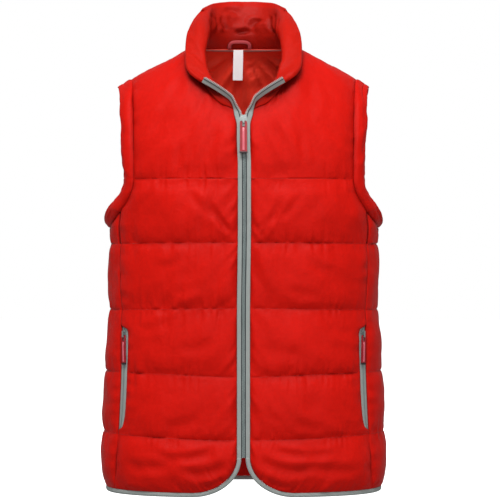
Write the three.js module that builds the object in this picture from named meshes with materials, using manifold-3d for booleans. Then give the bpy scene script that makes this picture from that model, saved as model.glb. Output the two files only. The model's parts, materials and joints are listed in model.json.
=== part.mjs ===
// A sleeveless quilted vest in its worn form, with nobody in it, in millimetres and +Z up.
// The wearer faces -Y and +X is the wearer's left. The origin is the middle of the neck base, level
// with the shoulder points. Every cloth piece is a wall whose points come in pairs, one on its plain
// inside and one on its outside, and each piece starts from the edge pairs of its neighbour, a seam
// gap away, so that no two of them touch.
import * as THREE from "three";
import { mergeVertices } from "three/addons/utils/BufferGeometryUtils.js";
import Module from "manifold-3d";

const wasm = await Module();
wasm.setup();

// Heights, from the shoulder points.
const HEM_HEIGHT = -704;
const CHEST_HEIGHT = -215; // the highest stitched line
const QUILT_HEIGHTS = [-616, -516, -415, -314, CHEST_HEIGHT];
const ARMHOLE_BOTTOM = -290;
const ZIP_BOTTOM = -643;
const FRONT_NECK_DROP = 112;
const BACK_NECK_RISE = 4;
const SHOULDER_INSIDE_HEIGHT = -4; // the shoulder point is on the outside of the cloth

// Widths.
const NECK_HALF_WIDTH = 76;
const SHOULDER_TIP = 179;
const SHOULDER_SLOPE = 0.5;

// Cloth.
const SEAM_GAP = 0.3;
const WALL = 3; // quilted cloth at a stitched line
const PUFF = 8; // how far the padding swells past that
const SIDE_PUFF = 0.55; // share of it that the sides keep
const CHEST_PUFF = 7;
const BINDING_WIDTH = 7;
const THIN_CLOTH = 0.8;

// Squareness of the rings round the body, and of the rolls over the chest and the shoulder blades.
const RING_ROUND = 2.6;
const ROLL = { front: 1.9, back: 3.2 };

// The plain inside of the body: half width, depth before and behind the shoulder line, side seam's x.
const BODY = [
  { z: -704, half: 215, front: 126, back: 112, seam: 198 },
  { z: -685, half: 219, front: 129, back: 114, seam: 197 },
  { z: -650, half: 221, front: 130, back: 115, seam: 195 },
  { z: -616, half: 219, front: 129, back: 115, seam: 193 },
  { z: -516, half: 215, front: 128, back: 112, seam: 189 },
  { z: -415, half: 209, front: 128, back: 111, seam: 187 },
  { z: -314, half: 208, front: 129, back: 114, seam: 189 },
  { z: -215, half: 206, front: 128, back: 118, seam: 190 },
];

// Rows of points up the panels. The front and the back share those of the side seam.
const SEAM_ROWS = [-616, -610, -604, -579, -549, -516, -491, -467, -446, -440, -415, -390, -365, -340, -314];
const HEM_ROWS = 4;
const ROLL_ROWS = 7;

// Columns of points across half a panel.
const FRONT_COLUMNS = 12;
const FRONT_NECK_COLUMNS = 6;
const BACK_COLUMNS = 14;
const BACK_NECK_COLUMNS = 4;
const BACK_BODY_COLUMNS = 10; // the rest pass under the arm to the side seam

const lerp = THREE.MathUtils.lerp;
const radians = THREE.MathUtils.degToRad;
const degrees = THREE.MathUtils.radToDeg;
const clamp01 = (t) => THREE.MathUtils.clamp(t, 0, 1);
const ease = (t) => THREE.MathUtils.smoothstep(t, 0, 1);
const point = (x, y, z) => new THREE.Vector3(x, y, z);
const between = (a, b, t) => a.clone().lerp(b, t);
const moved = (p, direction, distance) => p.clone().addScaledVector(direction, distance);
const mirrored = (p) => p && point(-p.x, p.y, p.z);
const count = (n) => [...Array(n).keys()];
const superArc = (t, power) => Math.pow(Math.max(1 - Math.pow(t, power), 0), 1 / power);

// A smooth curve through one column of a table, against its key column.
function along(table, key, column, at) {
  const last = table.length - 1;
  const x = THREE.MathUtils.clamp(at, table[0][key], table[last][key]);
  let i = 0;
  while (i < last - 1 && x > table[i + 1][key]) i += 1;
  const slope = (j) => {
    const a = table[Math.max(j - 1, 0)];
    const b = table[Math.min(j + 1, last)];
    return (b[column] - a[column]) / (b[key] - a[key]);
  };
  const span = table[i + 1][key] - table[i][key];
  const t = (x - table[i][key]) / span;
  const rise = table[i + 1][column] - table[i][column];
  const p = slope(i) * span;
  const q = slope(i + 1) * span;
  return table[i][column] + t * (p + t * (3 * rise - 2 * p - q + t * (p + q - 2 * rise)));
}

// Body surface.

const bodyAt = (z, column) => along(BODY, "z", column, Math.min(z, CHEST_HEIGHT));

// The shoulder line's plain inside; within the neck it runs on as if there were no neck.
const NECK_ROUND = 30; // how far from the middle that run comes to a rounded top
const rounded = (x) => Math.hypot(Math.min(Math.abs(x), NECK_HALF_WIDTH), NECK_ROUND);
function shoulderHeight(x) {
  const past = Math.max(Math.abs(x) - NECK_HALF_WIDTH, 0) + rounded(x) - rounded(NECK_HALF_WIDTH);
  return SHOULDER_INSIDE_HEIGHT - SHOULDER_SLOPE * past;
}

// A point of a level ring; angle is 0 at the front middle, 90 at the side and 180 at the back middle.
function ringPoint(angle, z) {
  const s = Math.abs(Math.sin(radians(angle)));
  const c = Math.abs(Math.cos(radians(angle)));
  const r = Math.pow(Math.pow(s, RING_ROUND) + Math.pow(c, RING_ROUND), -1 / RING_ROUND);
  const y = angle < 90 ? -bodyAt(z, "front") * r * c : bodyAt(z, "back") * r * c;
  return point(bodyAt(z, "half") * r * s, y, z);
}

// The angle of the ring's point at a given x, on the front.
function ringAngle(x, z) {
  const share = Math.min(x / bodyAt(z, "half"), 1);
  return degrees(Math.atan2(share, superArc(share, RING_ROUND)));
}

function frontPoint(x, z) {
  return point(x, -bodyAt(z, "front") * superArc(x / bodyAt(z, "half"), RING_ROUND), z);
}

// The lower armhole is an ellipse on the body, from the chest line down under the arm and up again.
const UNDERARM_ANGLE = 93;
const ARMHOLE_FRONT_X = 169;
const ARMHOLE_BACK_ANGLE = 127;
const armholeFrontAngle = ringAngle(ARMHOLE_FRONT_X, CHEST_HEIGHT);
const armholeSag = (z) => (CHEST_HEIGHT - z) / (CHEST_HEIGHT - ARMHOLE_BOTTOM);
function armholeAngle(z, end) {
  return UNDERARM_ANGLE + (end - UNDERARM_ANGLE) * superArc(armholeSag(z), 2);
}
function armholeHeight(angle) {
  const share = (UNDERARM_ANGLE - angle) / (UNDERARM_ANGLE - armholeFrontAngle);
  return lerp(CHEST_HEIGHT, ARMHOLE_BOTTOM, superArc(share, 2));
}
const seamTopAngle = ringAngle(bodyAt(CHEST_HEIGHT, "seam"), CHEST_HEIGHT);
const SIDE_SEAM_TOP = armholeHeight(seamTopAngle);

// The neckline's plain inside, at an angle that counts as on a ring.
function necklineAt(angle) {
  const c = Math.cos(radians(angle));
  const drop = c > 0 ? FRONT_NECK_DROP + SHOULDER_INSIDE_HEIGHT : BACK_NECK_RISE - SHOULDER_INSIDE_HEIGHT;
  return { x: NECK_HALF_WIDTH * Math.sin(radians(angle)), z: SHOULDER_INSIDE_HEIGHT - drop * c };
}

// Zip line and hem arch.

const TAPE_WIDTH = 9.6;
const TAPE_THICKNESS = 1.2;
const TAPE_SHARE = 0.35; // where the tape's inside lies, in the thickness of the wall beside it
const CHAIN_HALF_GAP = 0.4;
const ZIP_MOUTH_HEIGHT = -134; // the tapes start to part here
const ZIP_MOUTH_HALF_GAP = 4.6; // and are this far from the middle at the neck seam

function chainEdge(z) {
  return lerp(CHAIN_HALF_GAP, ZIP_MOUTH_HALF_GAP, ease((z - ZIP_MOUTH_HEIGHT) / (-FRONT_NECK_DROP - ZIP_MOUTH_HEIGHT)));
}
const zipEdge = (z) => chainEdge(z) + TAPE_WIDTH + SEAM_GAP;

// The front's lower edge, bound: an arch from the zip's foot and then the level hem.
const ARCH_FOOT = zipEdge(ZIP_BOTTOM) - BINDING_WIDTH - SEAM_GAP;
const ARCH_WIDTH = 80;
const ARCH_COLUMNS = 7;
function hemCurve(column, inset) {
  if (column >= ARCH_COLUMNS) {
    const t = (column - ARCH_COLUMNS) / (FRONT_COLUMNS - ARCH_COLUMNS);
    return { x: lerp(ARCH_WIDTH, frontEdge(HEM_HEIGHT + BINDING_WIDTH), t), z: HEM_HEIGHT + inset };
  }
  const angle = Math.pow(column / ARCH_COLUMNS, 0.85) * (Math.PI / 2);
  const width = ARCH_WIDTH - ARCH_FOOT;
  const height = ZIP_BOTTOM - HEM_HEIGHT;
  const length = Math.hypot(height * Math.cos(angle), width * Math.sin(angle));
  return {
    x: ARCH_WIDTH - width * Math.cos(angle) + (inset * height * Math.cos(angle)) / length,
    z: ZIP_BOTTOM - height * Math.sin(angle) + (inset * width * Math.sin(angle)) / length,
  };
}

// Panels.

// The pocket zip is set in the side seam, in a slit cut from the front.
const POCKET_SLIT = [
  { z: -610, width: 0 },
  { z: -604, width: 6 },
  { z: -579, width: 9 },
  { z: -516, width: 9.5 },
  { z: -467, width: 9.5 },
  { z: -446, width: 8 },
  { z: -440, width: 0 },
];
const slitWidth = (z) => along(POCKET_SLIT, "z", "width", z);

// The front's outer edge: the side seam with the pocket slit, then the armhole.
function frontEdge(z) {
  if (z > SIDE_SEAM_TOP) return ringPoint(armholeAngle(z, armholeFrontAngle), z).x;
  return bodyAt(z, "seam") - SEAM_GAP / 2 - slitWidth(z);
}

// A column of the chest or the shoulder blade, rolling back from the chest line to the top edge.
function rollPoint(side, low, top, onNeck, up) {
  const power = ROLL[side];
  const rise = clamp01((top.z - CHEST_HEIGHT) / (shoulderHeight(top.x) - CHEST_HEIGHT));
  const turn = (onNeck ? Math.asin(Math.pow(rise, power / 2)) : Math.PI / 2) * up;
  const x = lerp(low.x, top.x, onNeck ? up : up * up);
  const z = CHEST_HEIGHT + (shoulderHeight(x) - CHEST_HEIGHT) * Math.pow(Math.sin(turn), 2 / power);
  const full = bodyAt(CHEST_HEIGHT, side) * superArc(x / bodyAt(CHEST_HEIGHT, "half"), RING_ROUND);
  const depth = Math.max(full * Math.pow(Math.cos(turn), 2 / power), SEAM_GAP / 2);
  return point(x, side === "front" ? -depth : depth, z);
}

// Where a column meets the neckline or the shoulder line.
function topEnd(angle, share) {
  if (share <= 0) return necklineAt(angle);
  const x = lerp(NECK_HALF_WIDTH, SHOULDER_TIP, share);
  return { x, z: shoulderHeight(x) };
}

// A row is a list of inside points with the padding's share of its full height along it.
function frontRows() {
  const rows = [];
  for (const i of count(HEM_ROWS)) {
    const t = i / HEM_ROWS;
    const row = count(FRONT_COLUMNS + 1).map((c) => {
      const low = hemCurve(c, BINDING_WIDTH + SEAM_GAP);
      const high = lerp(zipEdge(QUILT_HEIGHTS[0]), frontEdge(QUILT_HEIGHTS[0]), c / FRONT_COLUMNS);
      const z = lerp(low.z, QUILT_HEIGHTS[0], t);
      return frontPoint(c === FRONT_COLUMNS ? frontEdge(z) : lerp(low.x, high, t), z);
    });
    rows.push({ row, puff: PUFF * swell(t) });
  }
  const armholeRows = [0.5, 1].map((t) => lerp(QUILT_HEIGHTS[3], SIDE_SEAM_TOP, t));
  const chestRows = [1 / 3, 2 / 3].map((t) => lerp(SIDE_SEAM_TOP, CHEST_HEIGHT, t));
  for (const z of [...SEAM_ROWS, ...armholeRows, ...chestRows]) {
    const row = count(FRONT_COLUMNS + 1).map((c) => frontPoint(lerp(zipEdge(z), frontEdge(z), c / FRONT_COLUMNS), z));
    rows.push({ row, puff: channelPuff(z) });
  }
  const first = degrees(Math.asin(zipEdge(-FRONT_NECK_DROP) / NECK_HALF_WIDTH));
  for (const i of count(ROLL_ROWS + 1)) {
    const up = i / ROLL_ROWS;
    const row = count(FRONT_COLUMNS + 1).map((c) => {
      const lowX = lerp(zipEdge(CHEST_HEIGHT), frontEdge(CHEST_HEIGHT), c / FRONT_COLUMNS);
      const share = (c - FRONT_NECK_COLUMNS) / (FRONT_COLUMNS - FRONT_NECK_COLUMNS);
      const end = topEnd(lerp(first, 90, c / FRONT_NECK_COLUMNS), share);
      const p = rollPoint("front", frontPoint(lowX, CHEST_HEIGHT), end, c <= FRONT_NECK_COLUMNS, up);
      if (c === 0) p.x = zipEdge(p.z);
      return p;
    });
    rows.push({ row, puff: CHEST_PUFF * swell(up) });
  }
  return rows;
}

// Half of the back, from the middle. Columns past the body's end at the armhole bottom.
function backRows() {
  const rows = [];
  const underarm = (c) => 180 - (c / BACK_BODY_COLUMNS) * (180 - UNDERARM_ANGLE);
  const half = (z, sideAngle, heightAt) => count(BACK_COLUMNS + 1).map((c) => {
    if (c <= BACK_BODY_COLUMNS) return ringPoint(underarm(c), z);
    const t = (c - BACK_BODY_COLUMNS) / (BACK_COLUMNS - BACK_BODY_COLUMNS);
    const angle = lerp(UNDERARM_ANGLE, sideAngle, t);
    return ringPoint(angle, heightAt(angle, z));
  });
  const seamAngle = (z) => ringAngle(bodyAt(z, "seam") + SEAM_GAP / 2, z);
  const level = (angle, z) => z;
  const bottom = HEM_HEIGHT + BINDING_WIDTH + SEAM_GAP;
  for (const i of count(HEM_ROWS)) {
    const z = lerp(bottom, QUILT_HEIGHTS[0], i / HEM_ROWS);
    rows.push({ row: half(z, seamAngle(z), level), puff: PUFF * swell(i / HEM_ROWS) });
  }
  for (const z of SEAM_ROWS) rows.push({ row: half(z, seamAngle(z), level), puff: channelPuff(z) });
  for (const t of [0.5, 1]) {
    const rise = (angle) => lerp(QUILT_HEIGHTS[3], armholeHeight(angle), t);
    const z = lerp(QUILT_HEIGHTS[3], ARMHOLE_BOTTOM, t);
    rows.push({ row: half(z, seamAngle(CHEST_HEIGHT), rise), puff: channelPuff(z) });
  }
  for (const t of [1 / 3, 2 / 3]) {
    const z = lerp(ARMHOLE_BOTTOM, CHEST_HEIGHT, t * t);
    rows.push({ row: bladeRow(z), puff: channelPuff(z) });
  }
  const chest = bladeRow(CHEST_HEIGHT);
  for (const i of count(ROLL_ROWS + 1)) {
    const up = i / ROLL_ROWS;
    const row = chest.map((low, c) => {
      const share = (c - BACK_NECK_COLUMNS) / (BACK_BODY_COLUMNS - BACK_NECK_COLUMNS);
      const end = topEnd(180 - (90 * c) / BACK_NECK_COLUMNS, share);
      return rollPoint("back", low, end, c <= BACK_NECK_COLUMNS, up);
    });
    rows.push({ row, puff: CHEST_PUFF * swell(up) });
  }
  return rows;
}

// A row between the armhole bottom and the chest line, ending on the back of the armhole.
function bladeRow(z) {
  const side = armholeAngle(z, ARMHOLE_BACK_ANGLE);
  return count(BACK_BODY_COLUMNS + 1).map((c) => ringPoint(lerp(180, side, c / BACK_BODY_COLUMNS), z));
}

// Share of the padding's full height, from one stitched line (0) to the next (1).
function swell(v) {
  return Math.pow(Math.max(1 - Math.pow(Math.abs(2 * v - 1), 2.5), 0), 0.8);
}
function channelPuff(z) {
  const k = Math.max(QUILT_HEIGHTS.findIndex((h) => z < h), 1);
  if (z >= CHEST_HEIGHT) return 0;
  return PUFF * swell((z - QUILT_HEIGHTS[k - 1]) / (QUILT_HEIGHTS[k] - QUILT_HEIGHTS[k - 1]));
}

// Unit normals of a grid of points, which may have gaps; sign turns them outward.
function normals(rows, sign) {
  const at = (i, j) => rows[i] && rows[i][j];
  return rows.map((row, i) => row.map((p, j) => {
    if (!p) return null;
    const across = (at(i, j + 1) || p).clone().sub(at(i, j - 1) || p);
    const up = (at(i + 1, j) || p).clone().sub(at(i - 1, j) || p);
    return across.cross(up).multiplyScalar(sign).normalize();
  }));
}

// A level ring's own outward normal, which the front and the back share at the side seam.
function ringNormal(p) {
  const depth = bodyAt(p.z, p.y < 0 ? "front" : "back");
  const slope = (v, size) => (Math.sign(v) * Math.pow(Math.abs(v) / size, RING_ROUND - 1)) / size;
  return point(slope(p.x, bodyAt(p.z, "half")), slope(p.y, depth), 0).normalize();
}

// The outside of a panel. The padding thins towards the body's sides and ends at the panel's edges.
function outside(rows, inside, sign) {
  const across = normals(inside, sign);
  return inside.map((row, i) => row.map((p, j) => {
    if (!p) return null;
    const edge = !row[j - 1] || !row[j + 1] ? 0 : 1;
    const side = lerp(1, SIDE_PUFF, ease((Math.abs(p.x) / bodyAt(p.z, "half") - 0.7) / 0.3));
    const out = p.z < CHEST_HEIGHT + 1 ? ringNormal(p) : across[i][j];
    return moved(p, out, WALL + rows[i].puff * edge * side);
  }));
}

function frontPanel() {
  const rows = frontRows();
  const inner = rows.map((r) => r.row);
  return { inner, outer: outside(rows, inner, 1) };
}

function backPanel() {
  const rows = backRows();
  const inner = rows.map(({ row }) => {
    const half = count(BACK_COLUMNS + 1).map((c) => row[c] || null);
    return [...half.slice(1).reverse().map(mirrored), ...half];
  });
  return { inner, outer: outside(rows, inner, -1) };
}

// Meshes.

const part = new THREE.Group();
part.name = "puffer_vest";

const look = (color, roughness, metalness = 0) => new THREE.MeshStandardMaterial({ color, roughness, metalness });
const LOOKS = {
  shell: look(0xdc2018, 0.55),
  lining: look(0xa02014, 0.6),
  tape: look(0x8f9a98, 0.75),
  metal: look(0x9aa3a3, 0.35, 0.8),
  pull: look(0xc81e32, 0.4),
  label: look(0xf4f2ee, 0.8),
};

// Adds a closed surface, turned so that its normals point out.
function add(name, kind, positions, index) {
  const geometry = new THREE.BufferGeometry();
  geometry.setAttribute("position", new THREE.Float32BufferAttribute(positions, 3));
  const p = (i) => point(positions[3 * i], positions[3 * i + 1], positions[3 * i + 2]);
  let volume = 0;
  for (let i = 0; i < index.length; i += 3) {
    volume += p(index[i]).dot(p(index[i + 1]).cross(p(index[i + 2])));
  }
  geometry.setIndex(volume > 0 ? index : [...index].reverse());
  return addMesh(name, kind, geometry);
}
function addMesh(name, kind, geometry) {
  const mesh = new THREE.Mesh(geometry, LOOKS[kind]);
  mesh.name = name;
  part.add(mesh);
  return mesh;
}

// A wall between two grids of points of the same shape, closed along its edges.
function addWall(name, kind, inner, outer) {
  const positions = [];
  const store = (rows) => rows.map((row) => row.map((p) => (p ? positions.push(p.x, p.y, p.z) / 3 - 1 : -1)));
  const [below, above] = [store(inner), store(outer)];
  const index = [];
  const edges = new Map();
  for (let i = 0; i + 1 < inner.length; i += 1) {
    for (let j = 0; j + 1 < inner[i].length; j += 1) {
      const cell = [[i, j], [i, j + 1], [i + 1, j + 1], [i + 1, j]];
      if (cell.some(([r, c]) => !inner[r][c])) continue;
      const [a, b, c, d] = cell.map(([r, k]) => above[r][k]);
      const [e, f, g, h] = cell.map(([r, k]) => below[r][k]);
      const [p, q, r, s] = cell.map(([k, m]) => outer[k][m]);
      if (p.distanceTo(r) < q.distanceTo(s)) index.push(a, b, c, a, c, d, g, f, e, h, g, e);
      else index.push(a, b, d, b, c, d, h, f, e, h, g, f);
      cell.forEach((from, k) => {
        const to = cell[(k + 1) % 4];
        if (!edges.delete(`${to}>${from}`)) edges.set(`${from}>${to}`, [from, to]);
      });
    }
  }
  for (const [[i, j], [k, m]] of edges.values()) {
    index.push(above[k][m], above[i][j], below[i][j], above[k][m], below[i][j], below[k][m]);
  }
  add(name, kind, positions, index);
}

// A tube through a list of closed sections; joined end to start if it is a loop, else capped. A
// section's points go up one side and down the other, so that a cap is a strip between them.
function addTube(name, kind, sections, loop = false) {
  const size = sections[0].length;
  const positions = sections.flatMap((section) => section.flatMap((p) => p.toArray()));
  const index = [];
  for (let i = 0; i + (loop ? 0 : 1) < sections.length; i += 1) {
    const next = (i + 1) % sections.length;
    for (let j = 0; j < size; j += 1) {
      const [a, b] = [i * size + j, i * size + ((j + 1) % size)];
      const [c, d] = [next * size + ((j + 1) % size), next * size + j];
      const near = sections[i][j].distanceTo(sections[next][(j + 1) % size]);
      const far = sections[i][(j + 1) % size].distanceTo(sections[next][j]);
      if (near < far) index.push(a, b, c, a, c, d);
      else index.push(a, b, d, b, c, d);
    }
  }
  const last = (sections.length - 1) * size;
  for (let j = 0; !loop && 2 * j + 2 < size; j += 1) {
    const [a, b, c, d] = [j, j + 1, size - 2 - j, size - 1 - j];
    index.push(a, c, b, a, d, c, last + a, last + b, last + c, last + a, last + c, last + d);
  }
  add(name, kind, positions, index);
}

const mirrorRows = (rows) => rows.map((row) => row.map(mirrored));
function addPair(name, kind, build, shape) {
  build(`${name}_left`, kind, ...shape);
  build(`${name}_right`, kind, ...shape.map(mirrorRows));
}

// Body.

const front = frontPanel();
const back = backPanel();
addPair("front", "shell", addWall, [front.inner, front.outer]);
addWall("back", "shell", back.inner, back.outer);

// An edge pair holds the inside and the outside point of a wall's edge.
const pairAt = (panel, i, j) => ({ inner: panel.inner[i][j], outer: panel.outer[i][j] });
const shifted = ({ inner, outer }, direction, distance) => ({
  inner: moved(inner, direction, distance),
  outer: moved(outer, direction, distance),
});
const across = ({ inner, outer }, share) => between(inner, outer, share);
const mixPairs = (a, b, t) => ({ inner: between(a.inner, b.inner, t), outer: between(a.outer, b.outer, t) });
const centre = BACK_COLUMNS; // the back's middle column
const topRow = front.inner.length - 1;
const backTop = back.inner.length - 1;
const seamRow = HEM_ROWS + SEAM_ROWS.length + 1; // where the side seam meets the armhole

// Hem binding: a rounded edge that carries the wall on for its own width.

function bindingSection(top, bottomInner, bottomOuter) {
  const inner = top.inner.clone();
  const outer = top.outer.clone();
  const middle = between(bottomInner, bottomOuter, 0.5);
  return [
    inner,
    between(inner, bottomInner, 0.6),
    between(bottomInner, middle, 0.35),
    between(bottomOuter, middle, 0.35),
    between(outer, bottomOuter, 0.6),
    outer,
  ];
}
function hemSection(top, foot) {
  const lowered = foot.clone().sub(top.inner);
  const down = lowered.clone().normalize();
  const start = shifted(top, down, SEAM_GAP);
  return bindingSection(start, moved(start.inner, lowered, 1), moved(start.outer, lowered, 1));
}
const frontBinding = count(FRONT_COLUMNS + 1).map((c) => {
  const { x, z } = hemCurve(c, SEAM_GAP);
  const top = front.inner[0][c];
  return hemSection(pairAt(front, 0, c), point(c > ARCH_COLUMNS ? top.x : x, top.y, z));
});
addPair("hem_binding_front", "tape", addTube, [frontBinding]);
addTube("hem_binding_back", "tape", back.inner[0].map((p, j) => (
  hemSection(pairAt(back, 0, j), point(p.x, p.y, HEM_HEIGHT + SEAM_GAP))
)));

// Armhole bands: a padded strip round each armhole that goes on outward.

const BAND_WIDTH = 25;
const BAND_PUFF = 9;
const ARMHOLE_CENTRE = point(0, 6, -180);
const BAND_LEAN = [ // degrees that the band leans into the armhole, against the share of its height
  { height: 0, lean: 78 },
  { height: 0.25, lean: 62 },
  { height: 0.6, lean: 45 },
  { height: 1, lean: 27 },
];

const armhole = [
  ...count(topRow - seamRow + 1).map((i) => pairAt(front, seamRow + i, FRONT_COLUMNS)),
  ...count(backTop - seamRow + 1).map((i) => pairAt(back, backTop - i, centre + BACK_BODY_COLUMNS)),
  ...count(BACK_COLUMNS - BACK_BODY_COLUMNS).map((i) => (
    pairAt(back, seamRow, centre + BACK_BODY_COLUMNS + 1 + i)
  )),
];
const bandSections = armhole.map((pair) => {
  const toCentre = ARMHOLE_CENTRE.clone().sub(pair.inner).setX(0);
  const height = clamp01((pair.inner.z - ARMHOLE_BOTTOM) / (-58 - ARMHOLE_BOTTOM));
  const lean = radians(along(BAND_LEAN, "height", "lean", height));
  toCentre.normalize();
  const out = point(Math.cos(lean), 0, 0).addScaledVector(toCentre, Math.sin(lean));
  const up = point(Math.sin(lean), 0, 0).addScaledVector(toCentre, -Math.cos(lean));
  const { inner, outer } = shifted(pair, out, 2 * SEAM_GAP);
  const wide = (share, high) => moved(moved(inner, out, BAND_WIDTH * share), up, high);
  return [
    inner,
    wide(0.5, 0),
    wide(0.95, 0.5),
    wide(1.04, 4),
    wide(0.98, 8.5),
    wide(0.75, WALL + BAND_PUFF - 1),
    wide(0.45, WALL + BAND_PUFF),
    moved(moved(outer, out, BAND_WIDTH * 0.14), up, BAND_PUFF * 0.62),
    outer,
  ];
});
addTube("armhole_band_left", "shell", bandSections, true);
addTube("armhole_band_right", "shell", mirrorRows(bandSections), true);

// Collar: a padded stand that flares open from the neck seam.

// The rim's middle, against the neckline's angle.
const RIM = [
  { angle: 0, x: 63, y: -113, z: -64 },
  { angle: 22, x: 84, y: -98, z: -46 },
  { angle: 40, x: 89, y: -68, z: -18 },
  { angle: 56, x: 88, y: -38, z: 14 },
  { angle: 72, x: 80, y: -10, z: 38 },
  { angle: 90, x: 68, y: 16, z: 58 },
  { angle: 120, x: 54, y: 54, z: 72 },
  { angle: 150, x: 30, y: 78, z: 78 },
  { angle: 180, x: 0, y: 87, z: 79 },
];
const COLLAR_STAND = 26; // how far it stands straight up before it flares
const COLLAR_INSET = 8; // of its middle from the neck seam
const COLLAR_LIFT = 4; // so that its padding clears the shoulders
const COLLAR_HALF_PUFF = 5.3;
const COLLAR_ROWS = [ // shares of the way to the rim, and of the padding there
  { way: 0.2, puff: 0.6 },
  { way: 0.4, puff: 1 },
  { way: 0.64, puff: 1 },
  { way: 0.86, puff: 0.95 },
  { way: 1, puff: 0.7 },
];
const RIM_HEIGHT = 4; // of the rounded edge above the last row

const neckPairs = [
  ...count(FRONT_NECK_COLUMNS + 1).map((c) => ({
    angle: (90 * c) / FRONT_NECK_COLUMNS,
    ...pairAt(front, topRow, c),
  })),
  ...count(BACK_NECK_COLUMNS + 1).map((k) => ({
    angle: 90 + (90 * k) / BACK_NECK_COLUMNS,
    ...pairAt(back, backTop, centre + BACK_NECK_COLUMNS - k),
  })),
];
// Each step between two pairs is halved on the straight line between them, but not the shoulder seam.
const collarBase = neckPairs.flatMap((pair, i) => {
  const next = neckPairs[i + 1];
  if (!next || next.angle === pair.angle) return [pair];
  return [pair, { angle: (pair.angle + next.angle) / 2, ...mixPairs(pair, next, 0.5) }];
});
const rimAt = (angle) => point(along(RIM, "angle", "x", angle), along(RIM, "angle", "y", angle), along(RIM, "angle", "z", angle));
// The direction that leaves a panel at its neck edge, square to the seam and in the cloth.
const leaving = collarBase.map((pair, i) => {
  if (pair.angle === 90) return point(-1, 0, 0);
  const before = collarBase[Math.max(i - 1, 0)].inner;
  const after = (collarBase[i + 1] || { inner: mirrored(before) }).inner;
  return pair.outer.clone().sub(pair.inner).cross(after.clone().sub(before)).normalize();
});
const collarMiddle = [0, ...COLLAR_ROWS.map(({ way }) => way)].map((t) => collarBase.map((pair, i) => {
  const foot = moved(across(pair, 0.5), leaving[i], COLLAR_INSET);
  foot.z += COLLAR_LIFT;
  const rim = rimAt(pair.angle);
  const bend = foot.clone().setZ(foot.z + COLLAR_STAND).lerp(between(foot, rim, 0.5), 0.35);
  return between(between(foot, bend, t), between(bend, rim, t), t);
}));
const collarNormals = normals(collarMiddle, 1);
const collarHalf = collarBase.map((pair, c) => {
  const base = shifted(pair, leaving[c], 2 * SEAM_GAP);
  const edge = c === 0 ? 0 : 1;
  const side = (sign) => COLLAR_ROWS.map(({ puff }, k) => {
    const half = lerp(WALL / 2, COLLAR_HALF_PUFF * puff, edge);
    return moved(collarMiddle[k + 1][c], collarNormals[k + 1][c], sign * half);
  });
  const last = COLLAR_ROWS.length;
  const tip = collarMiddle[last][c].clone().sub(collarMiddle[last - 1][c]).normalize();
  const inner = [base.inner, ...side(-1)];
  const outer = [base.outer, ...side(1)];
  return { inner, outer, rim: moved(collarMiddle[last][c], tip, RIM_HEIGHT) };
});
const collarSection = ({ inner, outer, rim }) => [...inner, rim, ...[...outer].reverse()];
const collarLeft = collarHalf.map(collarSection);
addTube("collar", "shell", [...collarLeft, ...mirrorRows(collarLeft.slice(0, -1)).reverse()]);

// Zip tapes: from the foot of the front to the tip of the collar.

const collarEdge = collarHalf[0].inner.slice(1).map((p, k) => ({ inner: p, outer: collarHalf[0].outer[k + 1] }));
const tapeSeam = [...count(topRow + 1).map((i) => pairAt(front, i, 0)), ...collarEdge];
const tapeRows = tapeSeam.map((pair, i) => {
  const before = tapeSeam[Math.max(i - 1, 0)].inner;
  const after = tapeSeam[Math.min(i + 1, tapeSeam.length - 1)].inner;
  const along = after.clone().sub(before).normalize();
  const out = pair.outer.clone().sub(pair.inner).normalize();
  const toChain = out.clone().cross(along).normalize();
  const seam = moved(moved(across(pair, TAPE_SHARE), toChain, SEAM_GAP), along, i === 0 ? SEAM_GAP : 0);
  const width = i <= topRow ? (seam.x - chainEdge(seam.z)) / -toChain.x : TAPE_WIDTH;
  return { seam, chain: moved(seam, toChain, width), out };
});
const tapeFace = (depth) => tapeRows.map(({ seam, chain, out }) => (
  [0, 0.5, 1].map((t) => moved(between(seam, chain, t), out, depth))
));
addPair("zip_tape", "tape", addWall, [tapeFace(0), tapeFace(TAPE_THICKNESS)]);

// Sliders and pulls.

// A geometry as a solid that can be joined and cut, and back.
function solid(geometry) {
  geometry.deleteAttribute("normal");
  geometry.deleteAttribute("uv");
  const merged = mergeVertices(geometry, 1e-4);
  const vertProperties = Float32Array.from(merged.attributes.position.array);
  const triVerts = Uint32Array.from(merged.index.array);
  return new wasm.Manifold(new wasm.Mesh({ numProp: 3, vertProperties, triVerts }));
}
function geometryOf(body) {
  const mesh = body.getMesh();
  const geometry = new THREE.BufferGeometry();
  geometry.setAttribute("position", new THREE.Float32BufferAttribute(mesh.vertProperties, 3));
  geometry.setIndex([...mesh.triVerts]);
  return geometry;
}

// A rounded plate standing in the XZ plane, its back face at y = 0 and its front at -thickness.
function plate(width, height, thickness, corner) {
  const [x, y] = [width / 2, height / 2];
  const outline = new THREE.Shape();
  outline.moveTo(x, corner - y);
  outline.absarc(x - corner, y - corner, corner, 0, Math.PI / 2);
  outline.absarc(corner - x, y - corner, corner, Math.PI / 2, Math.PI);
  outline.absarc(corner - x, corner - y, corner, Math.PI, 1.5 * Math.PI);
  outline.absarc(x - corner, corner - y, corner, 1.5 * Math.PI, 2 * Math.PI);
  const options = { depth: thickness, bevelEnabled: false, curveSegments: 4 };
  return new THREE.ExtrudeGeometry(outline, options).rotateX(Math.PI / 2);
}
const block = (size, middle) => solid(new THREE.BoxGeometry(...size).translate(...middle));

// Adds a piece made in a frame of its own: +Z along the zip and -Y out of the cloth.
function addPlaced(name, kind, geometry, { at, up, out }) {
  const inward = out.clone().negate();
  const turn = new THREE.Matrix4().makeBasis(inward.clone().cross(up), inward, up);
  const mesh = addMesh(name, kind, geometry);
  mesh.position.copy(at);
  mesh.quaternion.setFromRotationMatrix(turn);
}

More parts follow.
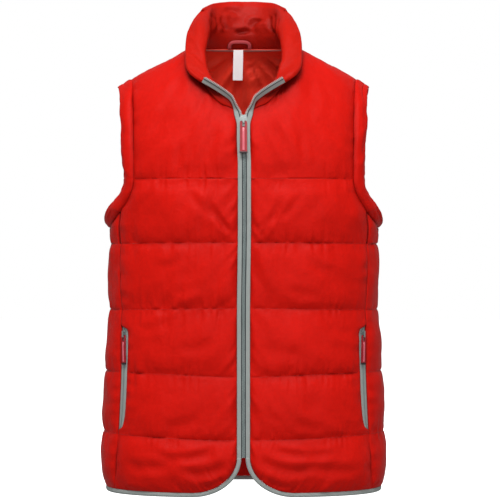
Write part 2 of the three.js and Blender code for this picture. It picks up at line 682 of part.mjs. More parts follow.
const SLIDER_CLEARANCE = 0.8;
const SLIDER_PLATE = 1.2;
const BRIDGE = { width: 3, length: 10, rise: 3.6, strap: 1, hole: 7 };
const HINGE = { y: -3.9, z: -2 }; // of the pull, in the slider's frame
const faceY = -(TAPE_THICKNESS / 2 + SLIDER_CLEARANCE);
const frontY = faceY - SLIDER_PLATE;

function slider({ width, height, post }) {
  const face = solid(plate(width, height, SLIDER_PLATE, 3).translate(0, faceY, 0));
  const strap = block([BRIDGE.width, BRIDGE.rise + 0.2, BRIDGE.length], [0, frontY - BRIDGE.rise / 2 + 0.1, 0]);
  const holeHeight = BRIDGE.rise - BRIDGE.strap;
  const hole = block([BRIDGE.width + 2, holeHeight, BRIDGE.hole], [0, frontY - holeHeight / 2, 0]);
  const shell = face.add(strap.subtract(hole));
  if (!post) return geometryOf(shell);
  const rear = solid(plate(width, height, SLIDER_PLATE, 3).translate(0, -frontY, 0));
  const joined = shell.add(rear).add(block([post.width, -2 * faceY + 0.4, post.length], [0, 0, post.z]));
  return geometryOf(joined);
}

// The pull hangs from a bar under the bridge, which its window lets through.
const PULL = { thickness: 1.8, bar: 0.7, window: 3.8, windowLength: 8.4, rib: 0.7 };
function pull({ width, length }) {
  const top = PULL.bar;
  const body = solid(plate(width, length, PULL.thickness, 2.6).translate(0, PULL.thickness / 2, top - length / 2));
  const windowSize = [PULL.window, PULL.thickness + 1, PULL.windowLength];
  const eye = block(windowSize, [0, 0, -PULL.bar - PULL.windowLength / 2]);
  const ribLength = length - PULL.windowLength - 12;
  const ribMiddle = -PULL.windowLength - 5 - ribLength / 2;
  const rib = solid(plate(width * 0.36, ribLength, PULL.rib, 1.2).translate(0, 0.05 - PULL.thickness / 2, ribMiddle));
  return geometryOf(body.subtract(eye).add(rib)).translate(0, HINGE.y, HINGE.z);
}

const SLIDER_Z = -126;
function tapeMiddle(z) {
  const i = tapeRows.findIndex(({ seam }) => seam.z > z);
  const [a, b] = [tapeRows[i - 1], tapeRows[i]];
  const at = ({ seam, out }) => moved(seam, out, TAPE_THICKNESS / 2).setX(0);
  return between(at(a), at(b), (z - a.seam.z) / (b.seam.z - a.seam.z));
}
const zipUp = tapeMiddle(SLIDER_Z + 9).sub(tapeMiddle(SLIDER_Z - 9)).normalize();
const zipPlace = { at: tapeMiddle(SLIDER_Z), up: zipUp, out: point(0, -zipUp.z, zipUp.y) };
const sliderPost = { width: 3.2, length: 4, z: 6.6 };
addPlaced("zip_slider", "metal", slider({ width: 11, height: 18, post: sliderPost }), zipPlace);
addPlaced("zip_pull", "pull", pull({ width: 11, length: 52 }), zipPlace);

// Pocket zips: each fills its slit between the front and the back.

const POCKET_SLIDER_Z = -456;
const firstPocketRow = HEM_ROWS + SEAM_ROWS.indexOf(POCKET_SLIT[0].z);
const lastPocketRow = HEM_ROWS + SEAM_ROWS.indexOf(POCKET_SLIT[POCKET_SLIT.length - 1].z);
const slitSides = (i) => [pairAt(front, i, FRONT_COLUMNS), pairAt(back, i, centre + BACK_COLUMNS)];
function pocketRow(i) {
  const t = i - Math.floor(i);
  const [low, high] = [slitSides(Math.floor(i)), slitSides(Math.ceil(i))];
  const [a, b] = [0, 1].map((k) => mixPairs(low[k], high[k], t));
  const over = across(b, TAPE_SHARE).sub(across(a, TAPE_SHARE)).normalize();
  const out = a.outer.clone().sub(a.inner).add(b.outer).sub(b.inner).normalize();
  const [left, right] = [moved(across(a, TAPE_SHARE), over, SEAM_GAP), moved(across(b, TAPE_SHARE), over, -SEAM_GAP)];
  return { left, right, out, over };
}
const tipShare = 0.2; // the zip's ends stop this share of a row short of the slit's
const pocketRows = [
  firstPocketRow + tipShare,
  ...count(lastPocketRow - firstPocketRow - 1).map((i) => firstPocketRow + 1 + i),
  lastPocketRow - tipShare,
].map(pocketRow);
const pocketFace = (depth) => pocketRows.map(({ left, right, out }) => (
  [0, 0.5, 1].map((t) => moved(between(left, right, t), out, depth))
));
addPair("pocket_zip", "tape", addWall, [pocketFace(0), pocketFace(TAPE_THICKNESS)]);

function pocketMiddle(z) {
  const middle = pocketRows.map(({ left, right, out }) => moved(between(left, right, 0.5), out, TAPE_THICKNESS / 2));
  const i = middle.findIndex((p) => p.z > z);
  return between(middle[i - 1], middle[i], (z - middle[i - 1].z) / (middle[i].z - middle[i - 1].z));
}
const pocketUp = pocketMiddle(POCKET_SLIDER_Z + 6).sub(pocketMiddle(POCKET_SLIDER_Z - 6)).normalize();
const pocketOver = pocketRows[pocketRows.length - 2].over;
const pocketOut = pocketOver.clone().cross(pocketUp).normalize();
const pocketSlider = slider({ width: 6.6, height: 14 });
const pocketPull = pull({ width: 8.4, length: 46 });
const pocketPlaces = {
  left: { at: pocketMiddle(POCKET_SLIDER_Z), up: pocketUp, out: pocketOut },
  right: { at: mirrored(pocketMiddle(POCKET_SLIDER_Z)), up: mirrored(pocketUp), out: mirrored(pocketOut) },
};
for (const [end, place] of Object.entries(pocketPlaces)) {
  addPlaced(`pocket_slider_${end}`, "metal", pocketSlider, place);
  addPlaced(`pocket_pull_${end}`, "pull", pocketPull, place);
}

// What shows inside the neck: lining, seam tape, hanger loop and label.

const LINING_COLUMNS = 9; // each side of the middle, clear of the armhole seam
const NECK_TAPE_COLUMNS = 3;
const backNormals = normals(back.inner, -1);
const liningAt = (i, j, depth) => moved(back.inner[i][j], backNormals[i][j], -depth);
const liningColumns = count(2 * LINING_COLUMNS + 1).map((c) => centre - LINING_COLUMNS + c);
const liningRows = (depth) => count(backTop - seamRow).map((i) => (
  liningColumns.map((j) => liningAt(seamRow + 1 + i, j, depth))
));
addWall("back_lining", "lining", liningRows(SEAM_GAP + THIN_CLOTH), liningRows(SEAM_GAP));

const neckTapeColumns = count(2 * NECK_TAPE_COLUMNS + 1).map((c) => centre - NECK_TAPE_COLUMNS + c);
const neckTapeRows = (depth) => [0.75, 0.97].map((t) => (
  neckTapeColumns.map((j) => between(liningAt(backTop - 1, j, depth), liningAt(backTop, j, depth), t))
));
const overLining = 2 * SEAM_GAP + THIN_CLOTH;
addWall("neck_tape", "tape", neckTapeRows(overLining + THIN_CLOTH), neckTapeRows(overLining));

// The loop and the label hang from the front of the neck tape, whose middle columns are straight.
const tapeTop = neckTapeRows(overLining + THIN_CLOTH)[1];
const neckTapeFront = (x) => between(tapeTop[NECK_TAPE_COLUMNS], tapeTop[NECK_TAPE_COLUMNS + 1], x / tapeTop[NECK_TAPE_COLUMNS + 1].x);

const LOOP = { halfWidth: 18, rise: 14, band: 3, forward: 5, steps: 12 };
const loopEnd = neckTapeFront(LOOP.halfWidth + LOOP.band / 2);
const loopSections = count(LOOP.steps + 1).map((i) => {
  const turn = (Math.PI * i) / LOOP.steps;
  const raised = Math.sin(turn);
  const forward = SEAM_GAP + THIN_CLOTH / 2 + LOOP.forward * Math.sqrt(raised);
  const at = point(LOOP.halfWidth * Math.cos(turn), loopEnd.y - forward, loopEnd.z - 2 + LOOP.rise * raised);
  const over = point(Math.cos(turn), 0, raised).multiplyScalar(LOOP.band / 2);
  const thick = point(0, THIN_CLOTH / 2, 0);
  return [
    at.clone().add(over).sub(thick),
    at.clone().add(over).add(thick),
    at.clone().sub(over).add(thick),
    at.clone().sub(over).sub(thick),
  ];
});
addTube("hanger_loop", "tape", loopSections);

const LABEL = { x: -9, width: 16, length: 50, thickness: 0.6 };
const labelSide = neckTapeFront(LABEL.width / 2 - LABEL.x);
addPlaced("neck_label", "label", plate(LABEL.width, LABEL.length, LABEL.thickness, 0.5), {
  at: point(LABEL.x, labelSide.y - SEAM_GAP, labelSide.z - LABEL.length / 2),
  up: point(0, 0, 1),
  out: point(0, -1, 0),
});

export default part;
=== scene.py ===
import json
import math

import bmesh
import bpy
import numpy as np
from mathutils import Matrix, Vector


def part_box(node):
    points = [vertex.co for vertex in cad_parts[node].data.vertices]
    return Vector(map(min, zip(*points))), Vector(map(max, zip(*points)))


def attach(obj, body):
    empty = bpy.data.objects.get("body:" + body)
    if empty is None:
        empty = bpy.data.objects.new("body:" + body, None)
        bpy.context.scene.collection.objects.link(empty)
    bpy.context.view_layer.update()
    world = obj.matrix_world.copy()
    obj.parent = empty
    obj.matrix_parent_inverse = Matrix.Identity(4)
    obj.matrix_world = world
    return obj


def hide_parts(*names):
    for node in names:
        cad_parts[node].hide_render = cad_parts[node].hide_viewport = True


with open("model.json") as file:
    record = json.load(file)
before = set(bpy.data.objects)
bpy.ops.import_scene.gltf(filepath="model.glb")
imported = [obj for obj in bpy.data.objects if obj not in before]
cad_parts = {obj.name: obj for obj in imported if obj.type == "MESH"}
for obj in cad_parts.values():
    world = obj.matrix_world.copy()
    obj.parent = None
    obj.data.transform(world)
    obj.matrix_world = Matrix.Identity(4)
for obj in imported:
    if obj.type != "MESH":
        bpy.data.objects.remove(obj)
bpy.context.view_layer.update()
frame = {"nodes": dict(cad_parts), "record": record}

# Front panels, left and right. Each is two layers of thin red satin-like cloth with padding between,
# stitched through in level lines, so that the padding swells between them and the cloth puckers along
# them. The lower inner corner is cut round, and the side seam leaves a slit for the pocket zip.
MM = 0.001
HEM = -704.0
LINES = (-616.0, -516.0, -415.0, -314.0, -215.0)  # heights of the stitched lines
CHEST = LINES[-1]
ARMHOLE_BOTTOM = -290.0
ZIP_BOTTOM = -643.0
FRONT_NECK_DROP, BACK_NECK_RISE, SHOULDER_INSIDE = 112.0, 4.0, -4.0
NECK_HALF, NECK_ROUND, SHOULDER_TIP, SHOULDER_SLOPE = 76.0, 30.0, 179.0, 0.5
GAP, WALL, PUFF, CHEST_PUFF, SIDE_PUFF = 0.3, 3.0, 8.0, 7.0, 0.55
LAP = 0.4  # how far a sewn edge reaches into the piece beside it, so that no light shows through a seam
BINDING = 5.2
TAPE_WIDTH, CHAIN_GAP, ZIP_MOUTH, MOUTH_GAP = 9.6, 0.4, -134.0, 4.6
RING_POWER, ROLL_POWER = 2.6, {"front": 1.9, "back": 3.2}
BODY_Z = (-704, -685, -650, -616, -516, -415, -314, -215)
BODY = {
    "half": (215, 219, 221, 219, 215, 209, 208, 206),
    "front": (126, 129, 130, 129, 128, 128, 129, 128),
    "back": (112, 114, 115, 115, 112, 111, 114, 118),
    "seam": (198, 197, 195, 193, 189, 187, 189, 190),
}
SLIT_Z = (-610, -604, -579, -516, -467, -446, -440)
SLIT_WIDTH = (0, 6, 9, 9.5, 9.5, 8, 0)
UNDERARM, ARMHOLE_FRONT_X, ARMHOLE_BACK = 93.0, 169.0, 127.0
ARCH_WIDTH, ARCH_SHARE = 80.0, 7 / 12  # the round lower corner: width, and share of the columns
HEM_ROWS, CHANNEL_ROWS, ROLL_ROWS, FRONT_COLUMNS = 26, 32, 60, 120


def curve(keys, values, at):
    """A smooth curve through (key, value) points."""
    k, v = np.asarray(keys, float), np.asarray(values, float)
    at = np.clip(at, k[0], k[-1])
    i = np.clip(np.searchsorted(k, at, side="right") - 1, 0, len(k) - 2)
    before, after = np.maximum(np.arange(len(k)) - 1, 0), np.minimum(np.arange(len(k)) + 1, len(k) - 1)
    slope = (v[after] - v[before]) / (k[after] - k[before])
    span = k[i + 1] - k[i]
    t, rise = (at - k[i]) / span, v[i + 1] - v[i]
    p, q = slope[i] * span, slope[i + 1] * span
    return v[i] + t * (p + t * (3 * rise - 2 * p - q + t * (p + q - 2 * rise)))


def body(z, column):
    return curve(BODY_Z, BODY[column], np.minimum(z, CHEST))


def arc(t, power):
    return np.maximum(1 - np.clip(t, 0, None) ** power, 0) ** (1 / power)


def ease(t):
    t = np.clip(t, 0, 1)
    return t * t * (3 - 2 * t)


def mix(a, b, t):
    return a + (b - a) * t


def xyz(x, y, z):
    return np.stack(np.broadcast_arrays(x, y, z), -1).astype(float)


def unit(v):
    return v / np.maximum(np.linalg.norm(v, axis=-1, keepdims=True), 1e-9)


def rumple(x, y, seed):
    """Smooth irregular values from -1 to 1, about one hump for each unit of x and of y."""
    lattice = np.random.default_rng(seed).uniform(-1, 1, (97, 89))
    x, y = np.broadcast_arrays(x, y)
    i, j = np.floor(x).astype(int), np.floor(y).astype(int)
    f, g = ((t * t * t * (t * (6 * t - 15) + 10)) for t in (x - i, y - j))
    i, j, k, m = i % 97, j % 89, (i + 1) % 97, (j + 1) % 89
    low, high = mix(lattice[i, j], lattice[k, j], f), mix(lattice[i, m], lattice[k, m], f)
    return mix(low, high, g) * 1.3


def ring_angle(x, z):
    share = np.minimum(x / body(z, "half"), 1)
    return np.degrees(np.arctan2(share, arc(share, RING_POWER)))


def ring_point(angle, z):
    s, c = np.abs(np.sin(np.radians(angle))), np.abs(np.cos(np.radians(angle)))
    r = (s ** RING_POWER + c ** RING_POWER) ** (-1 / RING_POWER)
    y = np.where(np.asarray(angle) < 90, -body(z, "front"), body(z, "back")) * r * c
    return xyz(body(z, "half") * r * s, y, z)


def ring_normal(p):
    depth = np.where(p[..., 1] < 0, body(p[..., 2], "front"), body(p[..., 2], "back"))
    half = body(p[..., 2], "half")
    slope = [np.sign(v) * (np.abs(v) / size) ** (RING_POWER - 1) / size
             for v, size in ((p[..., 0], half), (p[..., 1], depth))]
    return unit(xyz(slope[0], slope[1], 0))


def front_point(x, z):
    return xyz(x, -body(z, "front") * arc(x / body(z, "half"), RING_POWER), z)


ARMHOLE_FRONT = ring_angle(ARMHOLE_FRONT_X, CHEST)


def armhole_angle(z, end):
    sag = np.clip((CHEST - z) / (CHEST - ARMHOLE_BOTTOM), 0, 1)
    return UNDERARM + (end - UNDERARM) * arc(sag, 2)


def armhole_height(angle):
    share = (UNDERARM - angle) / (UNDERARM - ARMHOLE_FRONT)
    return mix(CHEST, ARMHOLE_BOTTOM, arc(share, 2))


SEAM_TOP = float(armhole_height(ring_angle(body(CHEST, "seam"), CHEST)))


def chain_edge(z):
    return mix(CHAIN_GAP, MOUTH_GAP, ease((z - ZIP_MOUTH) / (-FRONT_NECK_DROP - ZIP_MOUTH)))


def zip_edge(z):
    return chain_edge(z) + TAPE_WIDTH + GAP


def front_edge(z):
    low = body(z, "seam") - GAP / 2 - curve(SLIT_Z, SLIT_WIDTH, z)
    return np.where(z > SEAM_TOP, ring_point(armhole_angle(z, ARMHOLE_FRONT), z)[..., 0], low)


def hem_curve(u, inset):
    """The front's lower edge: an arch from the zip's foot, then the level hem."""
    foot = zip_edge(ZIP_BOTTOM) - BINDING - GAP
    angle = np.clip(u / ARCH_SHARE, 0, 1) ** 0.85 * math.pi / 2
    width, height = ARCH_WIDTH - foot, ZIP_BOTTOM - HEM
    length = np.hypot(height * np.cos(angle), width * np.sin(angle))
    x = ARCH_WIDTH - width * np.cos(angle) + inset * height * np.cos(angle) / length
    z = ZIP_BOTTOM - height * np.sin(angle) + inset * width * np.sin(angle) / length
    level = mix(ARCH_WIDTH, front_edge(np.float64(HEM + BINDING)), (u - ARCH_SHARE) / (1 - ARCH_SHARE))
    return np.where(u > ARCH_SHARE, level, x), np.where(u > ARCH_SHARE, HEM + inset, z)


def shoulder_height(x):
    rounded = np.hypot(np.minimum(np.abs(x), NECK_HALF), NECK_ROUND)
    past = np.maximum(np.abs(x) - NECK_HALF, 0) + rounded - math.hypot(NECK_HALF, NECK_ROUND)
    return SHOULDER_INSIDE - SHOULDER_SLOPE * past


def top_end(angle, share):
    """Where a column meets the neckline, or past it the shoulder seam."""
    c = np.cos(np.radians(angle))
    drop = np.where(c > 0, FRONT_NECK_DROP + SHOULDER_INSIDE, BACK_NECK_RISE - SHOULDER_INSIDE)
    x = mix(NECK_HALF, SHOULDER_TIP, share)
    on_neck = share <= 0
    return (np.where(on_neck, NECK_HALF * np.sin(np.radians(angle)), x),
            np.where(on_neck, SHOULDER_INSIDE - drop * c, shoulder_height(x)))


def softened(rows, reach):
    """Rows of values with each blended with its neighbours; their ends stay."""
    weights = np.exp(-np.linspace(-2, 2, 2 * reach + 1) ** 2)
    rows = np.atleast_2d(rows)
    first, last = rows[:, :1], rows[:, -1:]
    ends = [2 * first - rows[:, reach:0:-1], rows, 2 * last - rows[:, -2:-reach - 2:-1]]
    return np.array([np.convolve(row, weights / weights.sum(), "valid") for row in np.concatenate(ends, 1)])


def roll_point(side, low_x, end, past_neck, up):
    """The chest or the shoulder blade, rolling back from the highest stitched line to the top edge."""
    power = ROLL_POWER[side]
    rise = np.clip((end[1] - CHEST) / (shoulder_height(end[0]) - CHEST), 0, 1)
    turn = mix(np.arcsin(rise ** (power / 2)), math.pi / 2, past_neck)
    turn = mix(softened(turn, 9), turn, up ** 2) * up
    to_end = mix(low_x, end[0], up) * (1 - past_neck) + mix(low_x, end[0], up * up) * past_neck
    x = mix(softened(to_end, 9), to_end, up ** 2)
    z = CHEST + (shoulder_height(x) - CHEST) * np.sin(turn) ** (2 / power)
    full = body(np.float64(CHEST), side) * arc(x / body(np.float64(CHEST), "half"), RING_POWER)
    depth = np.maximum(full * np.maximum(np.cos(turn), 0) ** (2 / power), GAP / 2)
    return xyz(x, -depth if side == "front" else depth, z)


def spaced(n):
    """Shares from 0 to 1 that lie closer together at both ends."""
    s = np.linspace(0, 1, n + 1)
    return s - 0.1 * np.sin(2 * math.pi * s)


def swell(v):
    return np.maximum(1 - np.abs(2 * v - 1) ** 2.5, 0) ** 0.8


def normals(grid, sign):
    """Unit normals of a grid of points."""
    across, up = np.gradient(grid, axis=1), np.gradient(grid, axis=0)
    return unit(np.cross(across, up)) * sign


def lengths(grid):
    """How far each point of a grid is along its row and up its column, in millimetres."""
    steps = [np.linalg.norm(np.diff(grid, axis=axis), axis=-1) for axis in (1, 0)]
    return np.pad(np.cumsum(steps[0], 1), ((0, 0), (1, 0))), np.pad(np.cumsum(steps[1], 0), ((1, 0), (0, 0)))


# Every row of points up a panel: the channel that it is in, and its share of that channel's height.
row_channel = np.concatenate([[k] * n for k, n in enumerate([HEM_ROWS] + [CHANNEL_ROWS] * 4 + [ROLL_ROWS])] + [[5]])
row_share = np.concatenate([spaced(n)[:-1] for n in [HEM_ROWS] + [CHANNEL_ROWS] * 4 + [ROLL_ROWS]] + [[1.0]])
row_height = np.array([mix(LINES[k - 1], LINES[k], t) if 0 < k < 5 else CHEST for k, t in zip(row_channel, row_share)])
# One row meets the armhole where the side seam does, so the top channel's rows move a little.
top_channel = np.flatnonzero(row_channel == 4)
seam_row = top_channel[np.argmin(np.abs(row_height[top_channel] - SEAM_TOP))]
SEAM_SHARE = row_share[seam_row]
row_height[top_channel] = np.interp(row_share[top_channel], (0, SEAM_SHARE, 1), (LINES[3], SEAM_TOP, CHEST))


def front_inside():
    u = np.linspace(0, 1, FRONT_COLUMNS + 1)[None, :]
    t, z = row_share[:, None], row_height[:, None]
    low = hem_curve(u, BINDING + GAP)
    hem_z = mix(low[1], LINES[0], t)
    line = np.float64(LINES[0])
    hem_x = mix(low[0], mix(zip_edge(line), front_edge(line), u), t)
    hem_x = mix(hem_x, front_edge(hem_z), u ** 8)
    hem = front_point(hem_x, hem_z)
    middle = front_point(mix(zip_edge(z), front_edge(z), u), z)
    chest = np.float64(CHEST)
    first = math.degrees(math.asin(float(zip_edge(-FRONT_NECK_DROP)) / NECK_HALF))
    end = top_end(mix(first, 90, np.minimum(2 * u, 1)), 2 * u - 1)
    top = roll_point("front", mix(zip_edge(chest), front_edge(chest), u), end, np.clip(12 * (u - 0.5), 0, 1), t)
    top[..., 0] = mix(top[..., 0], zip_edge(top[..., 2]), np.clip(1 - 12 * u, 0, 1))
    pick = row_channel[:, None, None]
    return np.where(pick == 0, hem, np.where(pick == 5, top, middle))


def creases(x, z, table):
    """Sum of listed folds: from (x, z) to (x, z), bow to one side, width and height."""
    total = np.zeros(np.broadcast(x, z).shape)
    for x0, z0, x1, z1, bow, width, height in table:
        length = math.hypot(x1 - x0, z1 - z0)
        along = ((x - x0) * (x1 - x0) + (z - z0) * (z1 - z0)) / length ** 2
        side = ((x - x0) * (z1 - z0) - (z - z0) * (x1 - x0)) / length
        side = side - bow * 4 * along * (1 - along)
        ends = ease(along / 0.3) * ease((1 - along) / 0.3)
        trough = -np.exp(-(side / width) ** 2)
        lips = 0.45 * (np.exp(-((side - 1.9 * width) / width) ** 2) + np.exp(-((side + 1.9 * width) / width) ** 2))
        total += height * ends * (trough + lips)
    return total


def quilted(inside, sign, table, seed, seams, joined):
    """The outside of a quilted panel: padding that swells between the stitched lines, with puckers.

    joined is the share of the padding that the panel keeps at its edges, where it is sewn to another.
    """
    across, up = lengths(inside)
    x, z = inside[..., 0], inside[..., 2]
    out = np.where((z < CHEST + 1)[..., None], ring_normal(inside), normals(inside, sign))
    channel, share = row_channel[:, None], row_share[:, None]
    starts = np.array([np.argmax(row_channel == k) for k in range(6)] + [len(row_channel) - 1])
    span = up[starts[1:]] - up[starts[:-1]]
    span = span[np.minimum(row_channel, 5)]
    below, above = share * span, (1 - share) * span
    side = mix(1, SIDE_PUFF, ease((np.abs(x) / body(z, "half") - 0.7) / 0.3))
    puff = np.where(channel == 5, CHEST_PUFF, PUFF) * swell(share) * side
    drawn_less = np.zeros_like(puff)
    edge = np.minimum.reduce(seams)
    away = 1 - np.exp(-edge / 7)
    if sign > 0:  # the highest line is drawn in less across the chest
        to_line = np.where(channel == 4, above, np.where(channel == 5, below, 500.0))
        across_chest = ease((165 - np.abs(x)) / 70)
        puff = puff * mix(1, 0.35 + 0.65 * ease(to_line / 26), across_chest) + 2.6 * np.exp(-to_line / 15) * across_chest
        drawn_less = np.where(to_line == 0, 1.7 * across_chest, 0)
    uneven = 0.16 * rumple(across / 70, up / 70, seed) + 0.1 * rumple(across / 24, up / 30, seed + 1)
    puff = puff * (1 + uneven * away)
    puckers = np.zeros_like(puff)
    for gap, line in ((below, channel), (above, channel + 1)):
        phase = across / 13 + 0.25 * rumple(across / 60, line * 1.0, seed + 2) + gap / 90
        ridge = rumple(phase, line * 7.3 + 0.5, seed + 3) + 0.5 * rumple(across / 7, line * 3.1 + 0.5, seed + 4)
        strength = 0.55 + 0.45 * rumple(across / 45, line * 5.7 + 0.5, seed + 5)
        reach = 13 + 7 * rumple(across / 50, line * 2.9 + 0.5, seed + 6)
        puckers += 3.0 * ridge * strength * np.exp(-gap / reach) * (1 - np.exp(-gap / 4))
        ticks = rumple(across / 4.6 + 0.4 * rumple(across / 40, gap / 30, seed + 10), gap / 26 + line * 3.7, seed + 11)
        patches = np.clip(0.6 + rumple(across / 34, line * 4.1 + gap / 60, seed + 12), 0, 1.3)
        puckers += 1.35 * ticks * patches * np.exp(-gap / 13) * (1 - np.exp(-gap / 2.5))
    gather = rumple(up / 11, edge / 60, seed + 7) * np.exp(-edge / 13) * (1 - np.exp(-edge / 3.5))
    soft = 1.1 * rumple(across / 38 + up / 60, up / 34, seed + 8) + 0.35 * rumple(across / 15, up / 17, seed + 9)
    loose = (1 - np.exp(-edge / 9)) * np.clip(np.minimum(below, above) / 9, 0, 1)
    height = puff * mix(away, 1, joined) + puckers * (1 - np.exp(-edge / 6)) + 2.3 * gather * swell(share)
    height = height + (soft + creases(np.abs(x) if sign > 0 else x, z, table)) * loose
    return inside + out * (WALL + np.where(share > 0, np.maximum(height, -1.2), drawn_less))[..., None]


ZIP_SWAY = 1.5  # how far the zip strays to the left
SIDE_DRIFT = ((-704, -616, -516, -415, -314, -215), (0, 4.5, 0.5, -3.5, -1, 0))  # the lines' rise at the sides
ZIP_DRIFT = ((-704, -616, -516, -415, -314, -215), (0, -1.5, -4.5, 0, 0, 0))  # and beside the zip, by height


def settled(points):
    """The points as the vest hangs: its zip strays a little and its stitched lines drift up and down."""
    x, y, z = np.moveaxis(np.asarray(points, float), -1, 0)
    sway = ZIP_SWAY * ease((-150 - z) / 50) * ease((z + 430) / 150) * np.exp(-(x / 70) ** 2) * (y < 0)
    drift = curve(*SIDE_DRIFT, z) * np.minimum(np.abs(x) / 200, 1) ** 2 + curve(*ZIP_DRIFT, z) * np.exp(-(x / 90) ** 2)
    return xyz(x + sway, y, z + drift)


def mesh_piece(name, points, faces, uv, material, smooth=True, body_name="vest"):
    """A mesh object from points in millimetres; uv is each point's place on its cloth, in metres."""
    mesh = bpy.data.meshes.new(name)
    points = settled(points) if body_name == "vest" else np.asarray(points)
    mesh.from_pydata((points * MM).tolist(), [], [list(map(int, f)) for f in faces])
    if uv is not None:
        corners = np.empty(len(mesh.loops), np.int32)
        mesh.loops.foreach_get("vertex_index", corners)
        mesh.uv_layers.new(name="cloth").data.foreach_set("uv", np.asarray(uv, float)[corners].ravel())
    mesh.polygons.foreach_set("use_smooth", [smooth] * len(mesh.polygons))
    mesh.materials.append(material)
    mesh.validate()
    mesh.update()
    piece = bpy.data.objects.new(name, mesh)
    bpy.context.scene.collection.objects.link(piece)
    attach(piece, body_name)
    return piece


def outward(points, faces):
    """The faces, turned round if they enclose the points inside out."""
    a, b, c = (points[faces[:, k]] for k in (0, 1, 2))
    d = points[faces[:, 3]]
    volume = (a * np.cross(b, c)).sum() + (a * np.cross(c, d)).sum()
    return faces if volume > 0 else faces[:, ::-1]


def wall(name, inner, outer, material, keep=None):
    """A closed cloth wall between two grids of points; keep marks the cells that it has."""
    rows, columns = outer.shape[:2]
    cell = np.ones((rows - 1, columns - 1), bool) if keep is None else keep
    number = np.arange(rows * columns).reshape(rows, columns)
    a, b, c, d = (number[:-1, :-1], number[:-1, 1:], number[1:, 1:], number[1:, :-1])
    quads = [np.stack([a, b, c, d], -1)[cell], (np.stack([d, c, b, a], -1) + rows * columns)[cell]]
    framed = np.pad(cell, 1)
    for p, q, beyond in ((a, b, framed[:-2, 1:-1]), (b, c, framed[1:-1, 2:]), (c, d, framed[2:, 1:-1]), (d, a, framed[1:-1, :-2])):
        free = cell & ~beyond
        p, q = p[free], q[free]
        quads.append(np.stack([q, p, p + rows * columns, q + rows * columns], -1))
    faces = np.concatenate(quads)
    points = np.concatenate([outer.reshape(-1, 3), inner.reshape(-1, 3)])
    across, up = lengths(outer)
    place = np.stack([across, up], -1).reshape(-1, 2) * MM
    used, faces = np.unique(faces, return_inverse=True)
    faces = faces.reshape(-1, 4)
    return mesh_piece(name, points[used], outward(points[used], faces), np.concatenate([place, place])[used], material)


def node_tree(name, sockets):
    """An empty shader group; sockets lists its inputs and outputs."""
    group = bpy.data.node_groups.new(name, "ShaderNodeTree")
    for label, way, kind, value in sockets:
        socket = group.interface.new_socket(label, in_out=way, socket_type=kind)
        if value is not None:
            socket.default_value = value
    return group, group.nodes.new("NodeGroupInput"), group.nodes.new("NodeGroupOutput")


def node(tree, kind, values=None, **settings):
    made = tree.nodes.new(kind)
    for key, value in settings.items():
        setattr(made, key, value)
    for key, value in (values or {}).items():
        if isinstance(value, bpy.types.NodeSocket):
            tree.links.new(value, made.inputs[key])
        else:
            made.inputs[key].default_value = value
    return made


def weave_group():
    """Plain-woven cloth: its height from thread to thread, and a mask of thicker threads."""
    tree, given, result = node_tree("plain_weave", [
        ("Threads per metre", "INPUT", "NodeSocketFloat", 2600.0),
        ("Height", "OUTPUT", "NodeSocketFloat", None), ("Slub", "OUTPUT", "NodeSocketFloat", None)])
    place = node(tree, "ShaderNodeUVMap", uv_map="cloth")
    scaled = node(tree, "ShaderNodeVectorMath", {0: place.outputs[0], "Scale": given.outputs[0]}, operation="SCALE")
    split = node(tree, "ShaderNodeSeparateXYZ", {0: scaled.outputs[0]})
    waves = [node(tree, "ShaderNodeMath", {0: node(tree, "ShaderNodeMath", {0: split.outputs[k], 1: math.pi}, operation="MULTIPLY").outputs[0]}, operation="SINE") for k in (0, 1)]
    over = node(tree, "ShaderNodeMath", {0: waves[0].outputs[0], 1: waves[1].outputs[0]}, operation="MULTIPLY")
    height = node(tree, "ShaderNodeMapRange", {"Value": over.outputs[0], "From Min": -1.0, "From Max": 1.0})
    slub = node(tree, "ShaderNodeTexNoise", {"Vector": place.outputs[0], "Scale": 900.0, "Detail": 2.0})
    tree.links.new(height.outputs[0], result.inputs[0])
    tree.links.new(slub.outputs["Fac"], result.inputs[1])
    return tree


def fade_group():
    """Uneven shade of a dyed cloth: broad cloudy patches and fine ones, as a factor about 1."""
    tree, given, result = node_tree("dye_shade", [
        ("Spread", "INPUT", "NodeSocketFloat", 0.08), ("Shade", "OUTPUT", "NodeSocketFloat", None)])
    place = node(tree, "ShaderNodeTexCoord")
    broad = node(tree, "ShaderNodeTexNoise", {"Vector": place.outputs["Object"], "Scale": 9.0, "Detail": 3.0})
    fine = node(tree, "ShaderNodeTexNoise", {"Vector": place.outputs["Object"], "Scale": 160.0, "Detail": 3.0})
    both = node(tree, "ShaderNodeMath", {0: broad.outputs["Fac"], 1: fine.outputs["Fac"]}, operation="ADD")
    centred = node(tree, "ShaderNodeMath", {0: both.outputs[0], 1: 1.0}, operation="SUBTRACT")
    scaled = node(tree, "ShaderNodeMath", {0: centred.outputs[0], 1: given.outputs[0]}, operation="MULTIPLY")
    total = node(tree, "ShaderNodeMath", {0: scaled.outputs[0], 1: 1.0}, operation="ADD")
    tree.links.new(total.outputs[0], result.inputs[0])
    return tree


weave = weave_group()
fade = fade_group()


